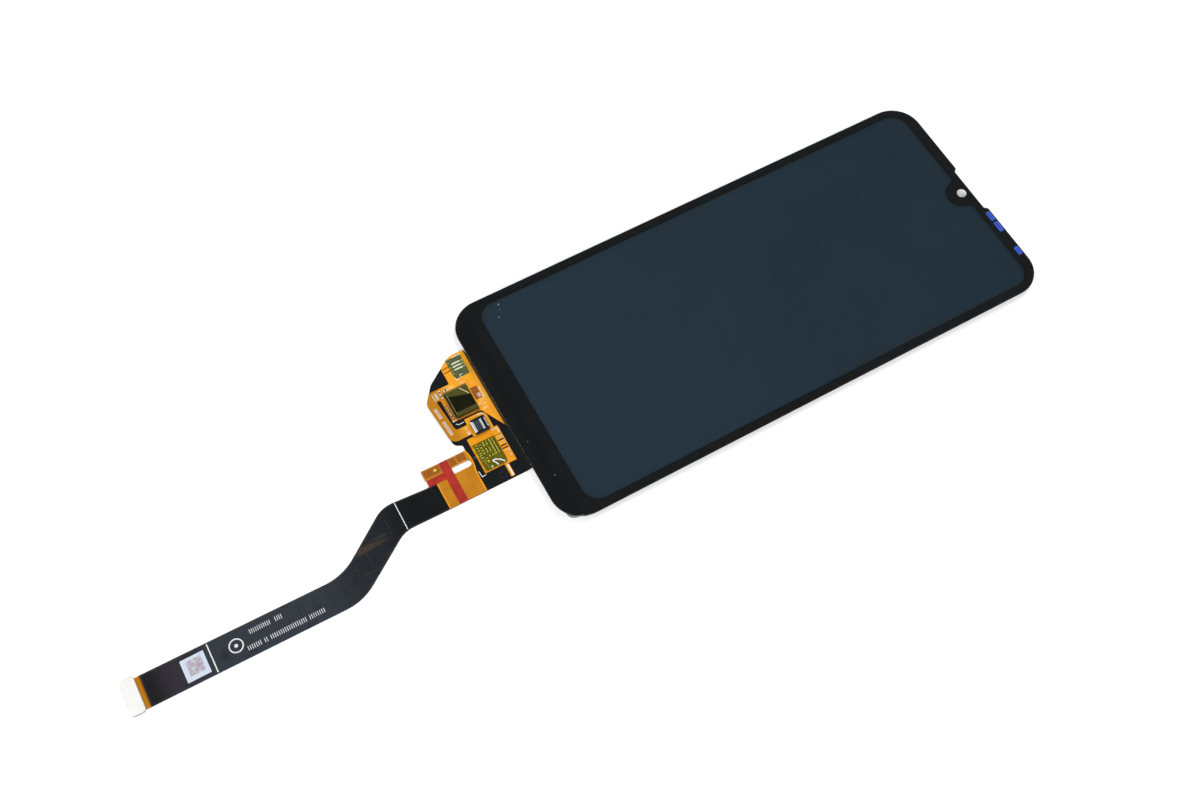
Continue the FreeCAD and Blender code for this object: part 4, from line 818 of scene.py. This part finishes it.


# Brown fields of the orange sheets, and their bright edge lines as painted highlights

def buildSheetFields():
    # Heights of what is printed, plated or left bare on the sheets
    rise = {"field": 0.006, "margin": 0.008, "pad": 0.014, "lobe": 0.01}
    brown = [boxOutline(-13.05, -9.05, -82.5, -80.45, 0.35), boxOutline(-11.2, -6.4, -91.0, -90.05, 0.2)]
    brown += [strokeOutline([(x, -84.9), (x + 0.15, -86.6)], 0.4) for x in (-21.9, -20.65)]
    addMarks("touchBrownFields", brown, flexTop, rise["field"], "brownLayer")
    pads = [boxOutline(x - 0.2, x + 0.2, -90.75, -90.4, 0.1) for x in (-10.6, -9.8, -8.9, -8.2, -7.0)]
    addMarks("touchPads", pads, flexTop, rise["pad"], "tin")
    jointBrown = [boxOutline(3.45, 5.55, -95.2, -92.7, 0.1), boxOutline(3.45, 5.75, -97.45, -95.6, 0.1),
                  boxOutline(3.5, 5.7, -105.0, -100.35, 0.2)]
    addMarks("jointBrownFields", jointBrown, jointTop, rise["field"], "brownLayer")
    # Bright lines along the lower sheet's raised top and bottom edges and the slot's sides are painted
    # highlights
    wave = smoothLine([(3.3, -92.15), (4.6, -91.75), (6.0, -91.6), (8.0, -91.65), (9.6, -92.1), (12.0, -92.2),
                       (16.3, -92.15)])
    edgeHighlights = [strokeOutline(points, width) for points, width in (
        (wave, 0.32), ([(8.6, -102.85), (16.3, -102.85)], 0.26), ([(8.2, -93.3), (8.2, -97.4)], 0.14),
        ([(5.85, -93.3), (5.85, -97.4)], 0.12))]
    addMarks("jointEdgeHighlights", edgeHighlights, jointTop, rise["margin"], "amberEdgeHighlight")
    lobe = [boxOutline(-24.0, -17.5, -84.7, -80.2, 0.25)]
    addMarks("lobeGround", lobe, flexTop, rise["lobe"], "lobeGround")
    dots = [discOutline(x, -80.62, 0.24, 12) for x in (-22.2, -21.2, -20.2)]
    dots += [discOutline(x, -84.3, 0.2, 12) for x in (-22.9, -21.3, -20.2, -19.2)]
    addMarks("lobeDots", dots, flexTop + rise["lobe"], rise["margin"], "paleGreen")


buildSheetFields()


# Connector: tongue and head wall painted lighter as lit faces, and tinned bar

def buildConnectorFaces():
    top = topOf("flex_connector")
    for name, corners, height, finish, slotName in (
            ("connectorTongueFace", (-3.12, 0.12, -86.36, -84.74, 0.15), 0.008, "connectorTongue",
             "connector_resin"),
            ("connectorBar", (-3.35, 0.35, -87.24, -86.86, 0.1), 0.01, "whiteTin", "tinned_copper"),
            ("connectorHeadFace", (-3.0, 0.15, -83.38, -82.96, 0.1), 0.008, "connectorWall",
             "connector_resin")):
        addMarks(name, [boxOutline(*corners)], top, height, finish)


buildConnectorFaces()


# Creases and the inspector's stroke on the films; the fold and the streak are painted highlights, and a dark
# strip below the chip is painted shade

def buildFilmStrokes():
    filmLevel = topOf("passives_cover_film")
    chipLevel = topOf("chip_cover_film")
    hook = smoothLine([(11.2, -83.95), (10.7, -84.35), (10.1, -85.0), (9.6, -85.9), (9.45, -86.7),
                       (9.85, -86.75), (10.5, -86.2), (11.25, -85.95)])
    inspection = [strokeOutline(hook, 0.36), strokeOutline([(10.85, -87.65), (11.3, -87.72)], 0.28)]
    addMarks("inspectionStroke", inspection, filmLevel, 0.02, "legend")
    streak = smoothLine([(6.9, -89.2), (8.0, -89.15), (9.4, -88.85), (11.1, -88.4)])
    crease = strokeOutline([(-14.4, -85.1), (-11.7, -83.35)], 0.2)
    fold = strokeOutline([(-13.9, -89.15), (-7.3, -89.15)], 0.16)
    for name, outline, base, height, finish in (
            ("chipFilmCrease", crease, chipLevel, 0.015, "creamLegend"),
            ("chipFilmFold", fold, chipLevel, 0.012, "foldHighlightPaint"),
            ("chipFilmShade", boxOutline(-14.2, -6.8, -89.75, -89.3), chipLevel, 0.008, "connectorResin"),
            ("componentFilmStreak", strokeOutline(streak, 0.2), filmLevel, 0.01, "foldHighlightPaint")):
        addMarks(name, [outline], base, height, finish)


buildFilmStrokes()


# Dust on the glass

def buildDust():
    specks = [discOutline(x, y, radius, 7) for x, y, radius in (
        (-32.3, -63.6, 0.16), (-28.5, -65.3, 0.13), (22.0, -74.4, 0.12), (9.8, -76.2, 0.1),
        (-30.5, -64.0, 0.09))]
    addMarks("glassDust", specks, topOf("cover_glass"), 0.015, "dust")


buildDust()
print("pieces built")


# Floor, backdrop, light and camera

def buildStage():
    stage = {"size": 6.0, "drop": 0.05, "floor": "#F4F4F4", "patches": "#F1F1F1", "patch": 60.0,
             "near": 350.0, "far": 900.0, "nearGlow": 0.3, "farGlow": 1.0}
    material, tree, inMm = startMaterial("paleStudioFloor")
    paper = addNode(tree, "TexNoise", {"Vector": inMm, "Scale": 1 / stage["patch"], "Detail": 3.0})
    paper = addNode(tree, "Mix", {0: paper, 6: stage["floor"], 7: stage["patches"]}, twoColours)
    body = addNode(tree, "BsdfDiffuse", {"Color": paper})
    rays = addNode(tree, "LightPath").outputs
    seen = addNode(tree, "Math", {0: rays["Is Camera Ray"], 1: rays["Is Glossy Ray"]}, larger)
    seen = addNode(tree, "Math", {0: seen, 1: rays["Is Transmission Ray"]}, larger)
    # The paper runs up into the backdrop, so away from the object it is seen as evenly white
    reach = addNode(tree, "VectorMath", {0: inMm}, {"operation": "LENGTH"})
    glow = addNode(tree, "MapRange", {
        0: reach, 1: stage["near"], 2: stage["far"], 3: stage["nearGlow"], 4: stage["farGlow"]}, smooth)
    strength = addNode(tree, "Math", {0: seen, 1: glow}, product)
    glow = addNode(tree, "Emission", {"Color": "#FFFFFF", "Strength": strength})
    closeMaterial(tree, addNode(tree, "AddShader", {0: body, 1: glow}))
    half, z = stage["size"] / 2, -stage["drop"] * mm
    data = bpy.data.meshes.new("studioFloor")
    corners = [(-half, -half, z), (half, -half, z), (half, half, z), (-half, half, z)]
    data.from_pydata(corners, [], [(0, 1, 2, 3)])
    floor = bpy.data.objects.new("studioFloor", data)
    data.materials.append(material)
    bpy.context.scene.collection.objects.link(floor)


def buildWorld():
    # White walls, dim ceiling: the flat glass mirrors the ceiling and stays dark
    sky = {"wall": 1.0, "ceiling": 0.2, "wallTop": 0.35, "ceilingFrom": 0.6}
    world = bpy.data.worlds.new("studioRoom")
    world.use_nodes = True
    tree = world.node_tree
    tree.nodes.clear()
    direction = addNode(tree, "TexCoord").outputs["Generated"]
    up = addNode(tree, "SeparateXYZ", {0: direction}).outputs[2]
    strength = addNode(tree, "MapRange", {
        0: up, 1: sky["wallTop"], 2: sky["ceilingFrom"], 3: sky["wall"], 4: sky["ceiling"]}, smooth)
    back = addNode(tree, "Background", {"Color": "#FFFFFF", "Strength": strength})
    addNode(tree, "OutputWorld", {"Surface": back})
    bpy.context.scene.world = world


def buildLamps():
    lamps = {
        # Name: place, aim, width and height in metres, watts, whether polished faces mirror it
        "nearSoftbox": ((0.95, -0.4, 0.9), (0.0, -0.05, 0.0), 0.7, 0.5, 9.0, True),
        "farSoftbox": ((-0.7, 1.0, 0.9), (0.0, -0.05, 0.0), 0.8, 0.4, 11.0, False),
        "tailSoftbox": ((-0.3, -1.3, 0.6), (0.0, -0.08, 0.0), 0.8, 0.4, 4.0, False)}
    for name, (place, aim, width, height, watts, mirrored) in lamps.items():
        data = bpy.data.lights.new(name, "AREA")
        data.shape = "RECTANGLE"
        data.size, data.size_y, data.energy = width, height, watts
        lamp = bpy.data.objects.new(name, data)
        lamp.location = place
        lamp.visible_glossy = mirrored
        lamp.rotation_euler = (Vector(place) - Vector(aim)).to_track_quat("Z", "Y").to_euler()
        bpy.context.scene.collection.objects.link(lamp)


def buildCamera():
    view = {"place": (0.1515, -0.1342, 0.3354), "turn": (26.24, -0.269, 60.992), "lens": 40.59,
            "sensor": 36.0}
    data = bpy.data.cameras.new("photoView")
    data.lens, data.sensor_width, data.clip_start = view["lens"], view["sensor"], 0.01
    camera = bpy.data.objects.new("photoView", data)
    camera.location = view["place"]
    camera.rotation_euler = [math.radians(angle) for angle in view["turn"]]
    bpy.context.scene.collection.objects.link(camera)
    bpy.context.scene.camera = camera


buildStage()
buildWorld()
buildLamps()
buildCamera()
bpy.context.scene.view_settings.view_transform = "Standard"
print("stage, light and camera set")
